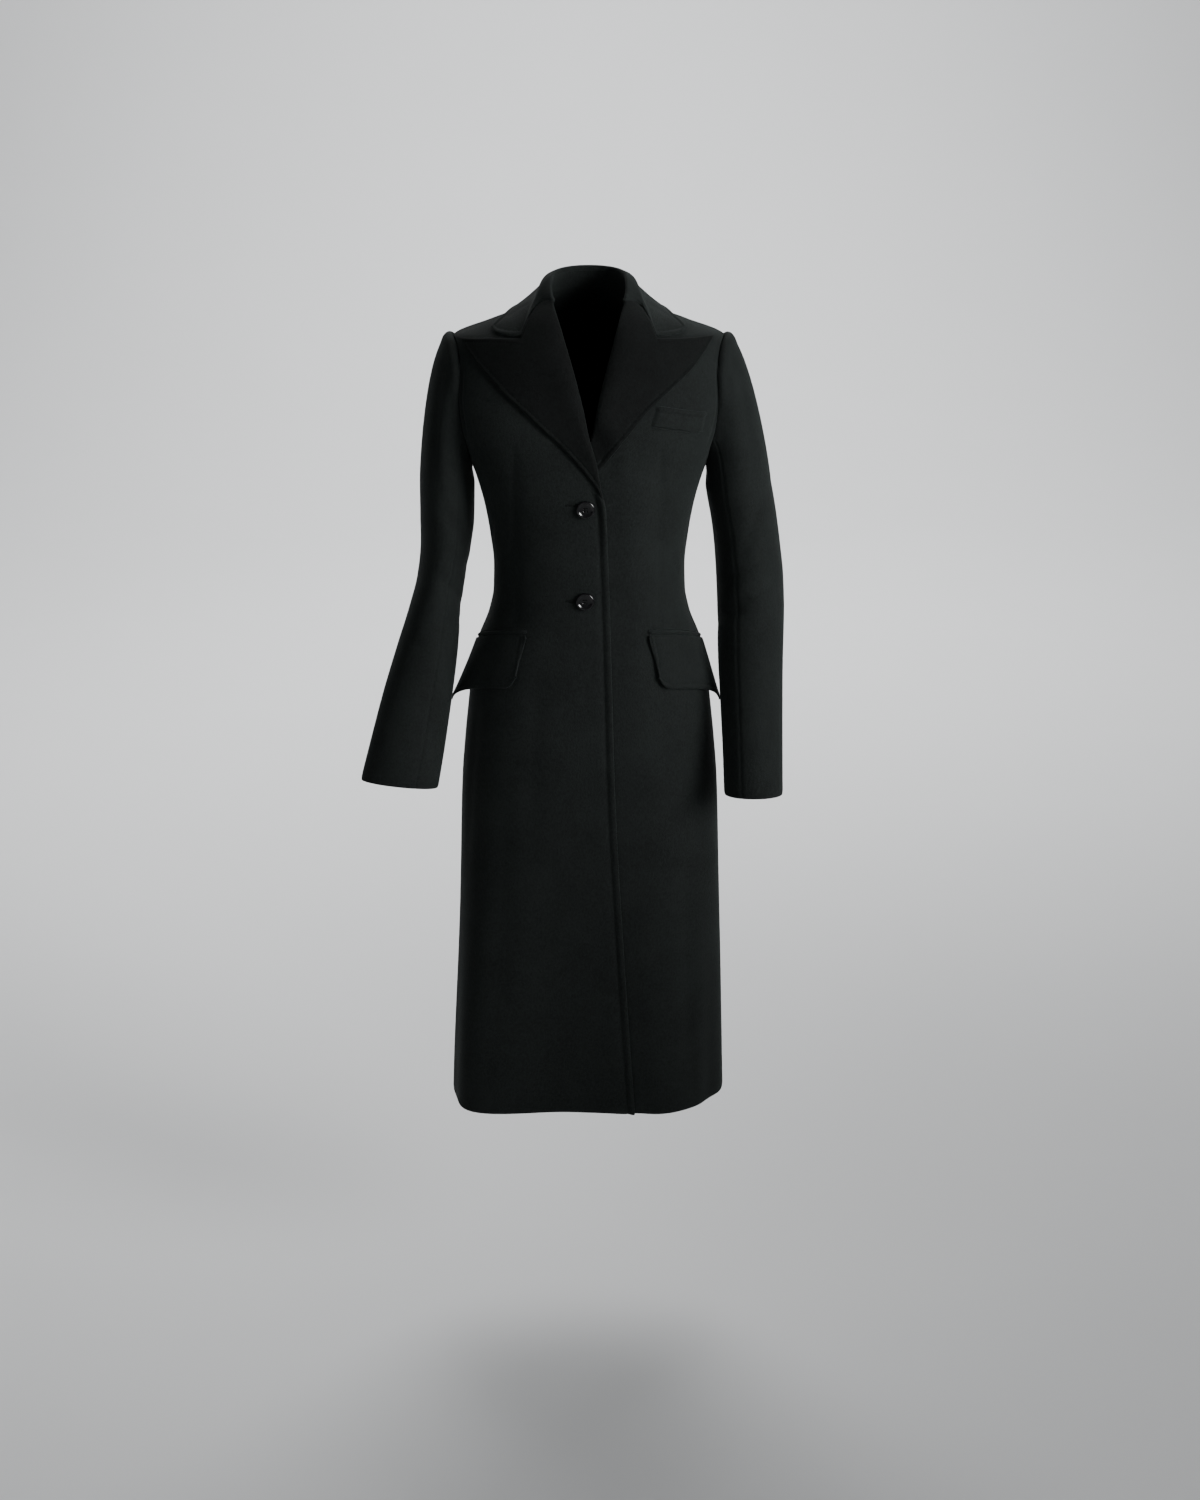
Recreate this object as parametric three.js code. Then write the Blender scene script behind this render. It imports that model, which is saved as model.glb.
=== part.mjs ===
// A woman's chesterfield coat in black wool, midi length, in the hollow form that it has when worn.
// Millimetres, +Z up. The front faces -Y and +X is the wearer's left. The origin lies between the
// shoulders, where the wearer carries the coat. The right front laps over the left one.
import * as THREE from 'three';

// ---- Driving dimensions ----
const HEM_Z = -1088;
const NECK_SEAM_Z = 33;
const CLOTH = 2.4;
const FOLDED_CLOTH = 2.6;
const SEAM_INSET = 0.25;
const SLEEVE_SEAM_INSET = 0.4;
const LAP_CLEARANCE = 0.9;
const OVERLAY_CLEARANCE = 0.9;
const BUTTON_DIAMETER = 23.5;
const BUTTON_THICKNESS = 4.6;
const BUTTON_CLEARANCE = 0.5;
const SKIRT_TOP_Z = -500;

const CLOTH_COLOUR = 0x16191b;
const HORN_COLOUR = 0x0b0b0c;

// The body's level sections: half width, reach to the front and to the back, and squareness of the
// superellipse. They carry the flared skirt, the waist darts, the bust and the padded shoulder line.
const BODY_SECTIONS = [
  { z: -1090, half: 189, front: 101, back: 112, square: 2.5 },
  { z: -900, half: 183, front: 103, back: 114, square: 2.5 },
  { z: -760, half: 178, front: 106, back: 117, square: 2.45 },
  { z: -620, half: 173, front: 108, back: 119, square: 2.4 },
  { z: -560, half: 168, front: 108, back: 119, square: 2.4 },
  { z: -514, half: 163, front: 108, back: 117, square: 2.4 },
  { z: -465, half: 157, front: 107, back: 112, square: 2.4 },
  { z: -430, half: 150, front: 106, back: 107, square: 2.35 },
  { z: -385, half: 133, front: 104, back: 99, square: 2.35 },
  { z: -355, half: 127, front: 104, back: 96, square: 2.3 },
  { z: -320, half: 126, front: 106, back: 96, square: 2.3 },
  { z: -280, half: 130, front: 109, back: 100, square: 2.35 },
  { z: -240, half: 136.5, front: 113, back: 105, square: 2.4 },
  { z: -200, half: 147, front: 116, back: 109, square: 2.45 },
  { z: -160, half: 162, front: 114, back: 112, square: 2.5 },
  { z: -130, half: 174, front: 110, back: 113, square: 2.6 },
  { z: -95, half: 181, front: 104, back: 111, square: 2.6 },
  { z: -55, half: 182, front: 94, back: 106, square: 2.3 },
  { z: -20, half: 174, front: 82, back: 95, square: 2.0 },
  { z: -2, half: 131, front: 75, back: 86, square: 1.9 },
  { z: 12, half: 93, front: 68, back: 76, square: 1.9 },
  { z: 24, half: 69, front: 62, back: 65, square: 1.95 },
  { z: 36, half: 57, front: 58, back: 57, square: 2.0 },
];

// A skirt fold moves out along the section's own direction, turned towards the front and back.
const FOLD_TURN_WEIGHT = 1.6;

// The soft upright folds of the skirt. turn is the place round the body, from 0 at the centre front
// to 0.5 at the wearer's left side and 1 at the centre back, and is negative on the right side.
const SKIRT_FOLDS = [
  { turn: -0.27, spread: 0.11, depth: 24, topZ: -610 },
  { turn: -0.47, spread: 0.08, depth: 5, topZ: -800 },
  { turn: -0.04, spread: 0.09, depth: -10, topZ: -560 },
  { turn: 0.16, spread: 0.07, depth: 5, topZ: -700 },
  { turn: 0.36, spread: 0.07, depth: -7, topZ: -720 },
  { turn: -0.62, spread: 0.07, depth: 9, topZ: -640 },
  { turn: -0.82, spread: 0.06, depth: -8, topZ: -600 },
  { turn: 0.68, spread: 0.08, depth: 11, topZ: -600 },
  { turn: 0.88, spread: 0.06, depth: -7, topZ: -640 },
];

// The armhole seen from the side, an egg round its middle.
const ARMHOLE = { midZ: -104, halfHeight: 85, frontReach: 57, backReach: 60, roundness: 2.2 };

// The edge of the right front, from the hem up past the buttons, and then the roll line of its lapel.
const RIGHT_FRONT_EDGE = [
  { z: -1090, x: 62 },
  { z: -806, x: 41 },
  { z: -618, x: 29 },
  { z: -465, x: 21 },
  { z: -344, x: 19 },
  { z: -222, x: 17 },
  { z: -171, x: 13 },
  { z: -128, x: 2 },
  { z: -99, x: -4 },
  { z: -54, x: -16 },
  { z: -22, x: -26 },
  { z: 2, x: -34 },
  { z: 18, x: -40 },
  { z: 40, x: -48 },
];

// The edge of the left front, hidden under the right one, and then the roll line of its lapel.
const LEFT_FRONT_EDGE = [
  { z: -1090, x: 10 },
  { z: -806, x: -8 },
  { z: -618, x: -20 },
  { z: -465, x: -29 },
  { z: -344, x: -32 },
  { z: -225, x: -32 },
  { z: -185, x: -22 },
  { z: -155, x: -9 },
  { z: -128, x: 3.4 },
  { z: -99, x: 8 },
  { z: -54, x: 19 },
  { z: -22, x: 28 },
  { z: 2, x: 35 },
  { z: 18, x: 40 },
  { z: 40, x: 48 },
];

// Where the left front sinks under the lap: distances from the right front's edge, and heights.
const LAP = { far: 36, near: 4, topZ: -96, fullZ: -122 };

// The gorge, where lapel and collar are sewn together, from the roll line down to the notch.
const GORGE = [
  { x: 45.5, z: 30.5 },
  { x: 54, z: 27 },
  { x: 65, z: 18 },
  { x: 76, z: 5 },
  { x: 84.5, z: -10.5 },
];

// The short end of the collar leaf, from the notch to its rounded corner.
const COLLAR_END = [
  { x: 94, z: -11.6 },
  { x: 108, z: -11 },
  { x: 118, z: -9.6 },
  { x: 122.5, z: -5.5 },
];

// The crease at the top of the collar, from the roll line round to the centre back.
const COLLAR_CREASE = [
  { x: 45.5, y: -44, z: 32 },
  { x: 48.5, y: -31, z: 43 },
  { x: 49.5, y: -14, z: 55 },
  { x: 48.5, y: 3, z: 60 },
  { x: 43, y: 24, z: 58.5 },
  { x: 33, y: 41, z: 58.5 },
  { x: 18, y: 51, z: 60 },
  { x: 0, y: 54, z: 61 },
];

// The outer edge of the collar leaf seen from above, from its corner round to the centre back.
const COLLAR_LEAF_EDGE = [
  { x: 122.5, y: -44 },
  { x: 117, y: -33 },
  { x: 107, y: -15 },
  { x: 101, y: 5 },
  { x: 92, y: 30 },
  { x: 76, y: 52 },
  { x: 53, y: 70 },
  { x: 27, y: 79 },
  { x: 0, y: 81.5 },
];

// The outer edge of each lapel, from the break above the top button up to the peak.
const RIGHT_LAPEL_EDGE = [
  { x: 11, z: -211 },
  { x: 1, z: -180 },
  { x: -39, z: -137 },
  { x: -78, z: -104 },
  { x: -99, z: -86 },
  { x: -128, z: -56 },
  { x: -146, z: -39 },
  { x: -160.5, z: -20 },
];
const LEFT_LAPEL_EDGE = [
  { x: 17.5, z: -165 },
  { x: 40, z: -126 },
  { x: 79, z: -93 },
  { x: 119, z: -58 },
  { x: 141, z: -36 },
  { x: 157, z: -18 },
];
const NOTCH = { x: 85, z: -15 };

// The corner of a lapel's top edge that lies under the collar leaf.
const UNDER_COLLAR = { x: 124, z: -16.5 };

// The heights between which each lapel follows its roll line, and how far beside the line it starts.
// The left lapel's lowest stretch lies hidden under the right one, along the right front's edge.
const LAPEL_ROLLS = {
  right: { fromZ: -214, toZ: 26, steps: 16, aside: -0.4 },
  leftHidden: { fromZ: -171, toZ: -132, steps: 4, aside: 1.7 },
  left: { fromZ: -124, toZ: 26, steps: 12, aside: 0.4 },
};

// A lapel's stand off the front: a soft roll along the fold, lower towards the peak, flat further out.
const LAPEL_ROLL = { height: 5, width: 0.42, easeToPeak: 0.35, peakLift: 1 };

// Each sleeve below the armhole: its centre, and its half width and half depth across the arm.
const SLEEVE_SECTIONS = {
  right: [
    { z: -216, x: -186, y: 4, halfWide: 36, halfDeep: 66 },
    { z: -262, x: -187, y: 5, halfWide: 35.5, halfDeep: 68 },
    { z: -300, x: -190, y: 4, halfWide: 33, halfDeep: 67 },
    { z: -344, x: -197, y: 0, halfWide: 31.5, halfDeep: 64 },
    { z: -385, x: -205, y: -8, halfWide: 34.5, halfDeep: 58 },
    { z: -436, x: -215.5, y: -24, halfWide: 40.5, halfDeep: 51 },
    { z: -498, x: -229.5, y: -46, halfWide: 46, halfDeep: 44 },
    { z: -556, x: -242, y: -68, halfWide: 49.5, halfDeep: 38 },
    { z: -601, x: -252, y: -86, halfWide: 51.5, halfDeep: 35 },
  ],
  left: [
    { z: -216, x: 195.5, y: 4, halfWide: 43, halfDeep: 64 },
    { z: -262, x: 204, y: 5, halfWide: 43, halfDeep: 64 },
    { z: -300, x: 209, y: 4, halfWide: 43.5, halfDeep: 62 },
    { z: -344, x: 213, y: 0, halfWide: 44.5, halfDeep: 60 },
    { z: -385, x: 214.5, y: -7, halfWide: 44.5, halfDeep: 57 },
    { z: -436, x: 214.5, y: -22, halfWide: 43.5, halfDeep: 54 },
    { z: -502, x: 216, y: -42, halfWide: 41.5, halfDeep: 51 },
    { z: -560, x: 217.5, y: -63, halfWide: 40, halfDeep: 49 },
    { z: -616, x: 218.5, y: -86, halfWide: 39, halfDeep: 48 },
  ],
};
const SLEEVE_HEAD = {
  seamClearance: 0.9,
  lift: { right: 30, left: 22 },
  fullness: { right: 92, left: 84 },
  settle: { right: 150, left: 112 },
  underarmReach: 26,
  underarmPull: 0.4,
};
// The under sleeve spans this much of the tube to each side of the inner line, in degrees.
const UNDER_SLEEVE_SPAN = 62;

// The hip pocket: where it starts beside the dart, how its mouth drops towards the side seam, the flap.
const POCKET = {
  innerX: { right: -82, left: 78 },
  mouthZ: -396,
  mouthDrop: 27,
  rearTurn: 0.475,
  length: 118,
  jetHeight: 7.6,
  jetGap: 0.8,
  flapGap: 0.4,
  flapHeight: 70,
  flapRearDrop: 12,
  innerSlant: 1,
  cornerRadius: 15,
  cornerCrowding: 1.25,
  innerLift: 3,
  flareFrom: 0.25,
  rearFlare: { right: 18, left: 8 },
};

// The breast welt's corners on the left front.
const BREAST_WELT = {
  innerTop: { x: 83.5, z: -92 },
  outerTop: { x: 152, z: -106 },
  outerBottom: { x: 146.5, z: -131 },
  innerBottom: { x: 75.5, z: -116 },
};

const BUTTONS = { button_top: { x: -4, z: -221 }, button_lower: { x: -5, z: -345 } };

// A button's profile from the back to the front: distances in from its rim, and heights.
const BUTTON_PROFILE = [
  { inset: 3, height: 0 },
  { inset: 0.8, height: 1.1 },
  { inset: 0, height: 2.4 },
  { inset: 0.5, height: BUTTON_THICKNESS - 0.5 },
  { inset: 1.5, height: BUTTON_THICKNESS },
  { inset: 2.8, height: BUTTON_THICKNESS - 0.4 },
  { inset: 4, height: BUTTON_THICKNESS - 1.4 },
  { inset: 7, height: BUTTON_THICKNESS - 1.8 },
  { inset: BUTTON_DIAMETER / 2, height: BUTTON_THICKNESS - 1.9 },
];

// How finely each piece is divided, and how finely its rows are followed before they are divided.
const DIVISIONS = {
  skirt: 11,
  waist: 12,
  armhole: 12,
  shoulder: 6,
  front: 11,
  back: 10,
  sleeveHead: 7,
  sleeve: 15,
  topSleeve: 10,
  underSleeve: 5,
  lapelLong: 15,
  lapelAcross: 8,
  gorge: 4,
  collarRound: 30,
  collarFall: 7,
  flapLong: 9,
  flapDeep: 4,
  weltLong: 7,
  weltDeep: 3,
  buttonSides: 24,
};
const PANEL_SAMPLES = 90;
const SLEEVE_SAMPLES = 48;

// ---- Curves ----

// A smooth curve through the rows of a table that never overshoots between them.
function through(rows, key, along = 'z') {
  const xs = rows.map((row) => row[along]);
  const ys = rows.map((row) => row[key]);
  const last = xs.length - 1;
  const steps = xs.slice(1).map((x, i) => x - xs[i]);
  const slopes = steps.map((step, i) => (ys[i + 1] - ys[i]) / step);
  const tangents = xs.map((_, i) => {
    if (i === 0) return slopes[0];
    if (i === last) return slopes[last - 1];
    if (slopes[i - 1] * slopes[i] <= 0) return 0;
    const before = 2 * steps[i] + steps[i - 1];
    const after = steps[i] + 2 * steps[i - 1];
    return (before + after) / (before / slopes[i - 1] + after / slopes[i]);
  });
  return (value) => {
    const x = Math.min(Math.max(value, xs[0]), xs[last]);
    let i = 0;
    while (i < last - 1 && x > xs[i + 1]) i += 1;
    const t = (x - xs[i]) / steps[i];
    const rest = 1 - t;
    return ys[i] * (1 + 2 * t) * rest * rest + steps[i] * tangents[i] * t * rest * rest
      + ys[i + 1] * t * t * (3 - 2 * t) - steps[i] * tangents[i + 1] * t * t * rest;
  };
}

function smoothStep(from, to, value) {
  const t = Math.min(Math.max((value - from) / (to - from), 0), 1);
  return t * t * (3 - 2 * t);
}

function mix(a, b, t) {
  return a + (b - a) * t;
}

const powerOf = (value, power) => Math.sign(value) * Math.abs(value) ** power;
const mirrored = (rows) => rows.map((row) => ({ ...row, x: -row.x }));

// A list of numbers from first to last with the given number of steps.
function ladder(first, last, steps) {
  return Array.from({ length: steps + 1 }, (_, i) => mix(first, last, i / steps));
}

// Points at even distances along a polyline, leaving out a little at either end.
function spaced(points, steps, inset = 0) {
  const lengths = [0];
  for (let i = 1; i < points.length; i += 1) {
    lengths.push(lengths[i - 1] + points[i].distanceTo(points[i - 1]));
  }
  const total = lengths[lengths.length - 1];
  return ladder(inset, total - inset, steps).map((distance) => {
    let i = 0;
    while (i < points.length - 2 && distance > lengths[i + 1]) i += 1;
    const t = (distance - lengths[i]) / (lengths[i + 1] - lengths[i]);
    return points[i].clone().lerp(points[i + 1], t);
  });
}

// ---- The body's surface ----

const SECTION = {};
for (const key of ['half', 'front', 'back', 'square']) SECTION[key] = through(BODY_SECTIONS, key);

function foldDepth(turn, z) {
  let depth = 0;
  for (const fold of SKIRT_FOLDS) {
    const away = (turn - fold.turn) / fold.spread;
    depth += fold.depth * Math.exp(-away * away) * smoothStep(fold.topZ, HEM_Z, z);
  }
  return depth;
}

function levelPoint(turn, z) {
  const angle = Math.abs(turn) * Math.PI;
  const power = 2 / SECTION.square(z);
  const reach = Math.cos(angle) > 0 ? SECTION.front(z) : SECTION.back(z);
  const x = Math.sign(turn) * SECTION.half(z) * Math.abs(Math.sin(angle)) ** power;
  const y = -reach * powerOf(Math.cos(angle), power);
  return new THREE.Vector3(x, y, z);
}

// A point on the coat's outer surface, with the skirt folds, moved out by lift.
function bodyPoint(turn, z, lift = 0) {
  const point = levelPoint(turn, z);
  const outwards = new THREE.Vector3(point.x, point.y * FOLD_TURN_WEIGHT, 0).normalize();
  point.addScaledVector(outwards, foldDepth(turn, z));
  if (lift === 0) return point;
  const step = 0.004;
  const rise = 2;
  const across = bodyPoint(turn + step, z).sub(bodyPoint(turn - step, z));
  const up = bodyPoint(turn, z + rise).sub(bodyPoint(turn, z - rise));
  const normal = across.cross(up).normalize();
  return point.addScaledVector(normal, lift);
}

// The turn at which the front of the section at this height reaches x.
function frontTurn(x, z) {
  const share = Math.min(Math.abs(x) / SECTION.half(z), 1);
  return (Math.sign(x) * Math.asin(share ** (SECTION.square(z) / 2))) / Math.PI;
}

function frontPoint(x, z, lift = 0) {
  return bodyPoint(frontTurn(x, z), z, lift);
}

// Moves a point straight out from the body until it clears the surface by the given distance.
function clearOfBody(point, clearance) {
  for (let pass = 0; pass < 4; pass += 1) {
    const z = Math.min(point.z, NECK_SEAM_Z);
    const half = SECTION.half(z);
    const reach = point.y < 0 ? SECTION.front(z) : SECTION.back(z);
    const square = SECTION.square(z);
    const total = (Math.abs(point.x) / half) ** square + (Math.abs(point.y) / reach) ** square;
    const share = total ** (1 / square);
    const turn = Math.atan2(point.x / half, -point.y / reach) / Math.PI;
    const surface = new THREE.Vector3(point.x / share, point.y / share, z);
    const normal = bodyPoint(turn, z, 1).sub(bodyPoint(turn, z)).normalize();
    const gap = point.clone().sub(surface).dot(normal);
    if (gap < clearance) point.addScaledVector(normal, clearance - gap);
  }
  return point;
}

// Half of the armhole's front-to-back opening at this height, to the front or to the back.
function armholeReach(z, facing) {
  const rise = Math.abs(z - ARMHOLE.midZ) / ARMHOLE.halfHeight;
  if (rise >= 1) return 0;
  const reach = facing === 'front' ? ARMHOLE.frontReach : ARMHOLE.backReach;
  return reach * (1 - rise ** ARMHOLE.roundness) ** (1 / ARMHOLE.roundness);
}

// The turn where a front or back panel ends on its outer side: side seam, armhole or shoulder seam.
function outerTurn(z, facing) {
  const depth = facing === 'front' ? SECTION.front(z) : SECTION.back(z);
  const share = armholeReach(z, facing) / depth;
  const quarter = Math.acos(share ** (SECTION.square(z) / 2)) / Math.PI;
  return facing === 'front' ? quarter : 1 - quarter;
}

// ---- Solids ----

// The direction of a line of points at one of them, curved on past its ends.
function tangentAt(points, i) {
  const last = points.length - 1;
  if (last === 1) return points[1].clone().sub(points[0]);
  if (i === 0) return points[0].clone().multiplyScalar(-3).addScaledVector(points[1], 4).sub(points[2]);
  if (i === last) {
    const end = points[last].clone().multiplyScalar(3);
    return end.addScaledVector(points[last - 1], -4).add(points[last - 2]);
  }
  return points[i + 1].clone().sub(points[i - 1]);
}

function gridNormals(grid) {
  const columns = grid[0].map((_, j) => grid.map((row) => row[j]));
  const normal = (i, j) => tangentAt(grid[i], j).cross(tangentAt(columns[j], i)).normalize();
  return grid.map((row, i) => row.map((_, j) => normal(i, j)));
}

// A cloth wall under a grid of outer points: its inner face lies one thickness below, and rims close it.
// outwards is a function that gives, for a point, a direction that faces out of the garment there.
function clothWall(grid, thickness, outwards) {
  const normals = gridNormals(grid);
  let facing = 0;
  grid.forEach((row, i) => row.forEach((point, j) => {
    facing += Math.sign(normals[i][j].dot(outwards(point)));
  }));
  const side = facing > 0 ? 1 : -1;
  const rows = grid.length;
  const columns = grid[0].length;
  const outer = (i, j) => i * columns + j;
  const inner = (i, j) => rows * columns + i * columns + j;
  const positions = [];
  for (const row of grid) for (const point of row) positions.push(...point.toArray());
  grid.forEach((row, i) => row.forEach((point, j) => {
    positions.push(...point.clone().addScaledVector(normals[i][j], -side * thickness).toArray());
  }));
  const triangles = [];
  const quad = (a, b, c, d) => {
    if (side > 0) triangles.push(a, b, c, a, c, d);
    else triangles.push(a, c, b, a, d, c);
  };
  for (let i = 0; i < rows - 1; i += 1) {
    for (let j = 0; j < columns - 1; j += 1) {
      quad(outer(i, j), outer(i, j + 1), outer(i + 1, j + 1), outer(i + 1, j));
      quad(inner(i, j), inner(i + 1, j), inner(i + 1, j + 1), inner(i, j + 1));
    }
  }
  const rim = (i, j, k, l) => quad(outer(k, l), outer(i, j), inner(i, j), inner(k, l));
  for (let j = 0; j < columns - 1; j += 1) {
    rim(0, j, 0, j + 1);
    rim(rows - 1, j + 1, rows - 1, j);
  }
  for (let i = 0; i < rows - 1; i += 1) {
    rim(i, columns - 1, i + 1, columns - 1);
    rim(i + 1, 0, i, 0);
  }
  const geometry = new THREE.BufferGeometry();
  geometry.setAttribute('position', new THREE.Float32BufferAttribute(positions, 3));
  geometry.setIndex(triangles);
  geometry.computeVertexNormals();
  return geometry;
}

const awayFromAxis = (point) => new THREE.Vector3(point.x, point.y, 0);
const upAndAway = (point) => new THREE.Vector3(point.x, point.y, 60);

const flat = (list) => list.map(({ x, z }) => new THREE.Vector3(x, 0, z));

// Two lines of points that meet at a corner, each divided evenly.
function cornered(first, firstSteps, second, secondSteps) {
  const corner = first[first.length - 1];
  return [...spaced(first, firstSteps), ...spaced([corner, ...second], secondSteps).slice(1)];
}

// A grid between four edges given as rows of x and z on the front, mapped by a function.
// A top edge that has one point for each column is kept as it is.
function patch(bottom, top, start, end, rows, columns, place) {
  const low = spaced(flat(bottom), columns);
  const high = top.length === columns + 1 ? flat(top) : spaced(flat(top), columns);
  const near = spaced(flat(start), rows);
  const far = spaced(flat(end), rows);
  return ladder(0, 1, rows).map((s, i) => ladder(0, 1, columns).map((t, j) => {
    const blend = (key) => mix(near[i][key], far[i][key], t) + mix(low[j][key], high[j][key], s)
      - mix(mix(low[0][key], low[columns][key], t), mix(high[0][key], high[columns][key], t), s);
    return place(blend('x'), blend('z'), s, t);
  }));
}

// ---- Fronts and backs ----

const rightEdge = through(RIGHT_FRONT_EDGE, 'x');
const leftEdge = through(LEFT_FRONT_EDGE, 'x');

const PANEL_HEIGHTS = [
  ...ladder(HEM_Z, SKIRT_TOP_Z, DIVISIONS.skirt).slice(0, -1),
  ...ladder(SKIRT_TOP_Z, ARMHOLE.midZ - ARMHOLE.halfHeight, DIVISIONS.waist).slice(0, -1),
  ...ladder(Math.PI, 0, DIVISIONS.armhole)
    .map((angle) => ARMHOLE.midZ + ARMHOLE.halfHeight * powerOf(Math.cos(angle), 2 / ARMHOLE.roundness)),
  ...ladder(ARMHOLE.midZ + ARMHOLE.halfHeight, NECK_SEAM_Z, DIVISIONS.shoulder).slice(1),
];

// The left front sinks under the lap of the right one.
function lapSink(x, z) {
  const beside = smoothStep(rightEdge(z) + LAP.far, rightEdge(z) + LAP.near, x);
  const below = smoothStep(LAP.topZ, LAP.fullZ, z);
  return -(CLOTH + LAP_CLEARANCE) * beside * below;
}

function panelGrid(firstTurn, lastTurn, columns, sink = () => 0) {
  return PANEL_HEIGHTS.map((z) => {
    const row = ladder(firstTurn(z), lastTurn(z), PANEL_SAMPLES).map((turn) => {
      const point = bodyPoint(turn, z);
      const depth = sink(point.x, z);
      return depth === 0 ? point : bodyPoint(turn, z, depth);
    });
    return spaced(row, columns, SEAM_INSET);
  });
}

function bodyPanels() {
  const rightFrontTurn = (z) => frontTurn(rightEdge(z), z);
  const leftFrontTurn = (z) => frontTurn(leftEdge(z), z);
  const frontOuter = (z) => outerTurn(z, 'front');
  const backOuter = (z) => outerTurn(z, 'back');
  const frontRight = panelGrid(rightFrontTurn, (z) => -frontOuter(z), DIVISIONS.front);
  const frontLeft = panelGrid(leftFrontTurn, frontOuter, DIVISIONS.front, lapSink);
  const backRight = panelGrid((z) => -backOuter(z), () => -1, DIVISIONS.back);
  const backLeft = panelGrid(backOuter, () => 1, DIVISIONS.back);
  return {
    front_right: clothWall(frontRight, CLOTH, awayFromAxis),
    front_left: clothWall(frontLeft, CLOTH, awayFromAxis),
    back_right: clothWall(backRight, CLOTH, awayFromAxis),
    back_left: clothWall(backLeft, CLOTH, awayFromAxis),
  };
}

// ---- Sleeves ----

// A point of the armhole seam; angle 0 is the shoulder point, a quarter turn is the front.
function armholePoint(sideSign, angle) {
  const z = ARMHOLE.midZ + ARMHOLE.halfHeight * powerOf(Math.cos(angle), 2 / ARMHOLE.roundness);
  const facing = Math.sin(angle) >= 0 ? 'front' : 'back';
  return bodyPoint(sideSign * outerTurn(z, facing), z);
}

// A sleeve's ring at this share of its length below the head, square to the arm.
function sleeveRing(sections, sideSign, share) {
  const top = sections[0].z;
  const bottom = sections[sections.length - 1].z;
  const rows = [...sections].reverse();
  const z = mix(top, bottom, share);
  const centreX = through(rows, 'x');
  const centreY = through(rows, 'y');
  const centre = (height) => new THREE.Vector3(centreX(height), centreY(height), height);
  const wide = through(rows, 'halfWide')(z);
  const deep = through(rows, 'halfDeep')(z);
  const along = centre(z - 8).sub(centre(z + 8)).normalize();
  const outwards = new THREE.Vector3(sideSign, 0, 0);
  outwards.addScaledVector(along, -outwards.dot(along)).normalize();
  const forwards = new THREE.Vector3().crossVectors(along, outwards).multiplyScalar(sideSign).normalize();
  const middle = centre(z);
  return {
    middle,
    along,
    point: (angle) => middle.clone()
      .addScaledVector(outwards, wide * Math.cos(angle))
      .addScaledVector(forwards, deep * Math.sin(angle)),
  };
}

// The head swells out of the armhole and settles into the arm: a Hermite curve for each angle.
function sleeveHeadPoint(side, ring, angle, t) {
  const sideSign = side === 'right' ? -1 : 1;
  const upper = (1 + Math.cos(angle)) / 2;
  const seam = armholePoint(sideSign, angle);
  seam.x += sideSign * SLEEVE_HEAD.seamClearance;
  const leave = new THREE.Vector3(
    sideSign * mix(SLEEVE_HEAD.underarmReach * SLEEVE_HEAD.underarmPull, SLEEVE_HEAD.fullness[side], upper),
    0,
    mix(-SLEEVE_HEAD.underarmReach, SLEEVE_HEAD.lift[side], upper),
  );
  const settle = mix(SLEEVE_HEAD.underarmReach, SLEEVE_HEAD.settle[side], upper);
  const arrive = ring.along.clone().multiplyScalar(settle);
  const end = ring.point(angle);
  const t2 = t * t;
  const t3 = t2 * t;
  return new THREE.Vector3()
    .addScaledVector(seam, 2 * t3 - 3 * t2 + 1)
    .addScaledVector(leave, t3 - 2 * t2 + t)
    .addScaledVector(end, 3 * t2 - 2 * t3)
    .addScaledVector(arrive, t3 - t2);
}

function sleevePanel(side, fromDegrees, toDegrees, columns) {
  const sideSign = side === 'right' ? -1 : 1;
  const sections = SLEEVE_SECTIONS[side];
  const first = sleeveRing(sections, sideSign, 0);
  const angles = ladder(fromDegrees, toDegrees, SLEEVE_SAMPLES).map(THREE.MathUtils.degToRad);
  const rows = [];
  for (const t of ladder(0, 1, DIVISIONS.sleeveHead)) {
    rows.push(angles.map((angle) => sleeveHeadPoint(side, first, angle, t)));
  }
  for (const share of ladder(0, 1, DIVISIONS.sleeve).slice(1)) {
    const ring = sleeveRing(sections, sideSign, share);
    rows.push(angles.map((angle) => ring.point(angle)));
  }
  const grid = rows.map((row) => spaced(row, columns, SLEEVE_SEAM_INSET));
  const core = through([...sections].reverse(), 'x');
  return clothWall(grid, CLOTH, (point) => new THREE.Vector3(point.x - core(point.z), point.y, 0));
}

function sleeves() {
  const solids = {};
  for (const side of ['right', 'left']) {
    const edge = 180 - UNDER_SLEEVE_SPAN;
    solids[`top_sleeve_${side}`] = sleevePanel(side, -edge, edge, DIVISIONS.topSleeve);
    solids[`under_sleeve_${side}`] = sleevePanel(side, edge, 360 - edge, DIVISIONS.underSleeve);
  }
  return solids;
}

// ---- Lapels and collar ----

// How far a lapel's outer face stands off the front, s up the lapel and t across it.
function lapelLift(s, t) {
  const roll = Math.sin(Math.PI * Math.min(t / LAPEL_ROLL.width, 1));
  const height = LAPEL_ROLL.height * (1 - LAPEL_ROLL.easeToPeak * s);
  return FOLDED_CLOTH + OVERLAY_CLEARANCE + height * roll + LAPEL_ROLL.peakLift * s * t;
}

const gorgeBelow = (rows) => rows.map(({ x, z }) => ({ x, z: z - 1 }));

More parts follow.
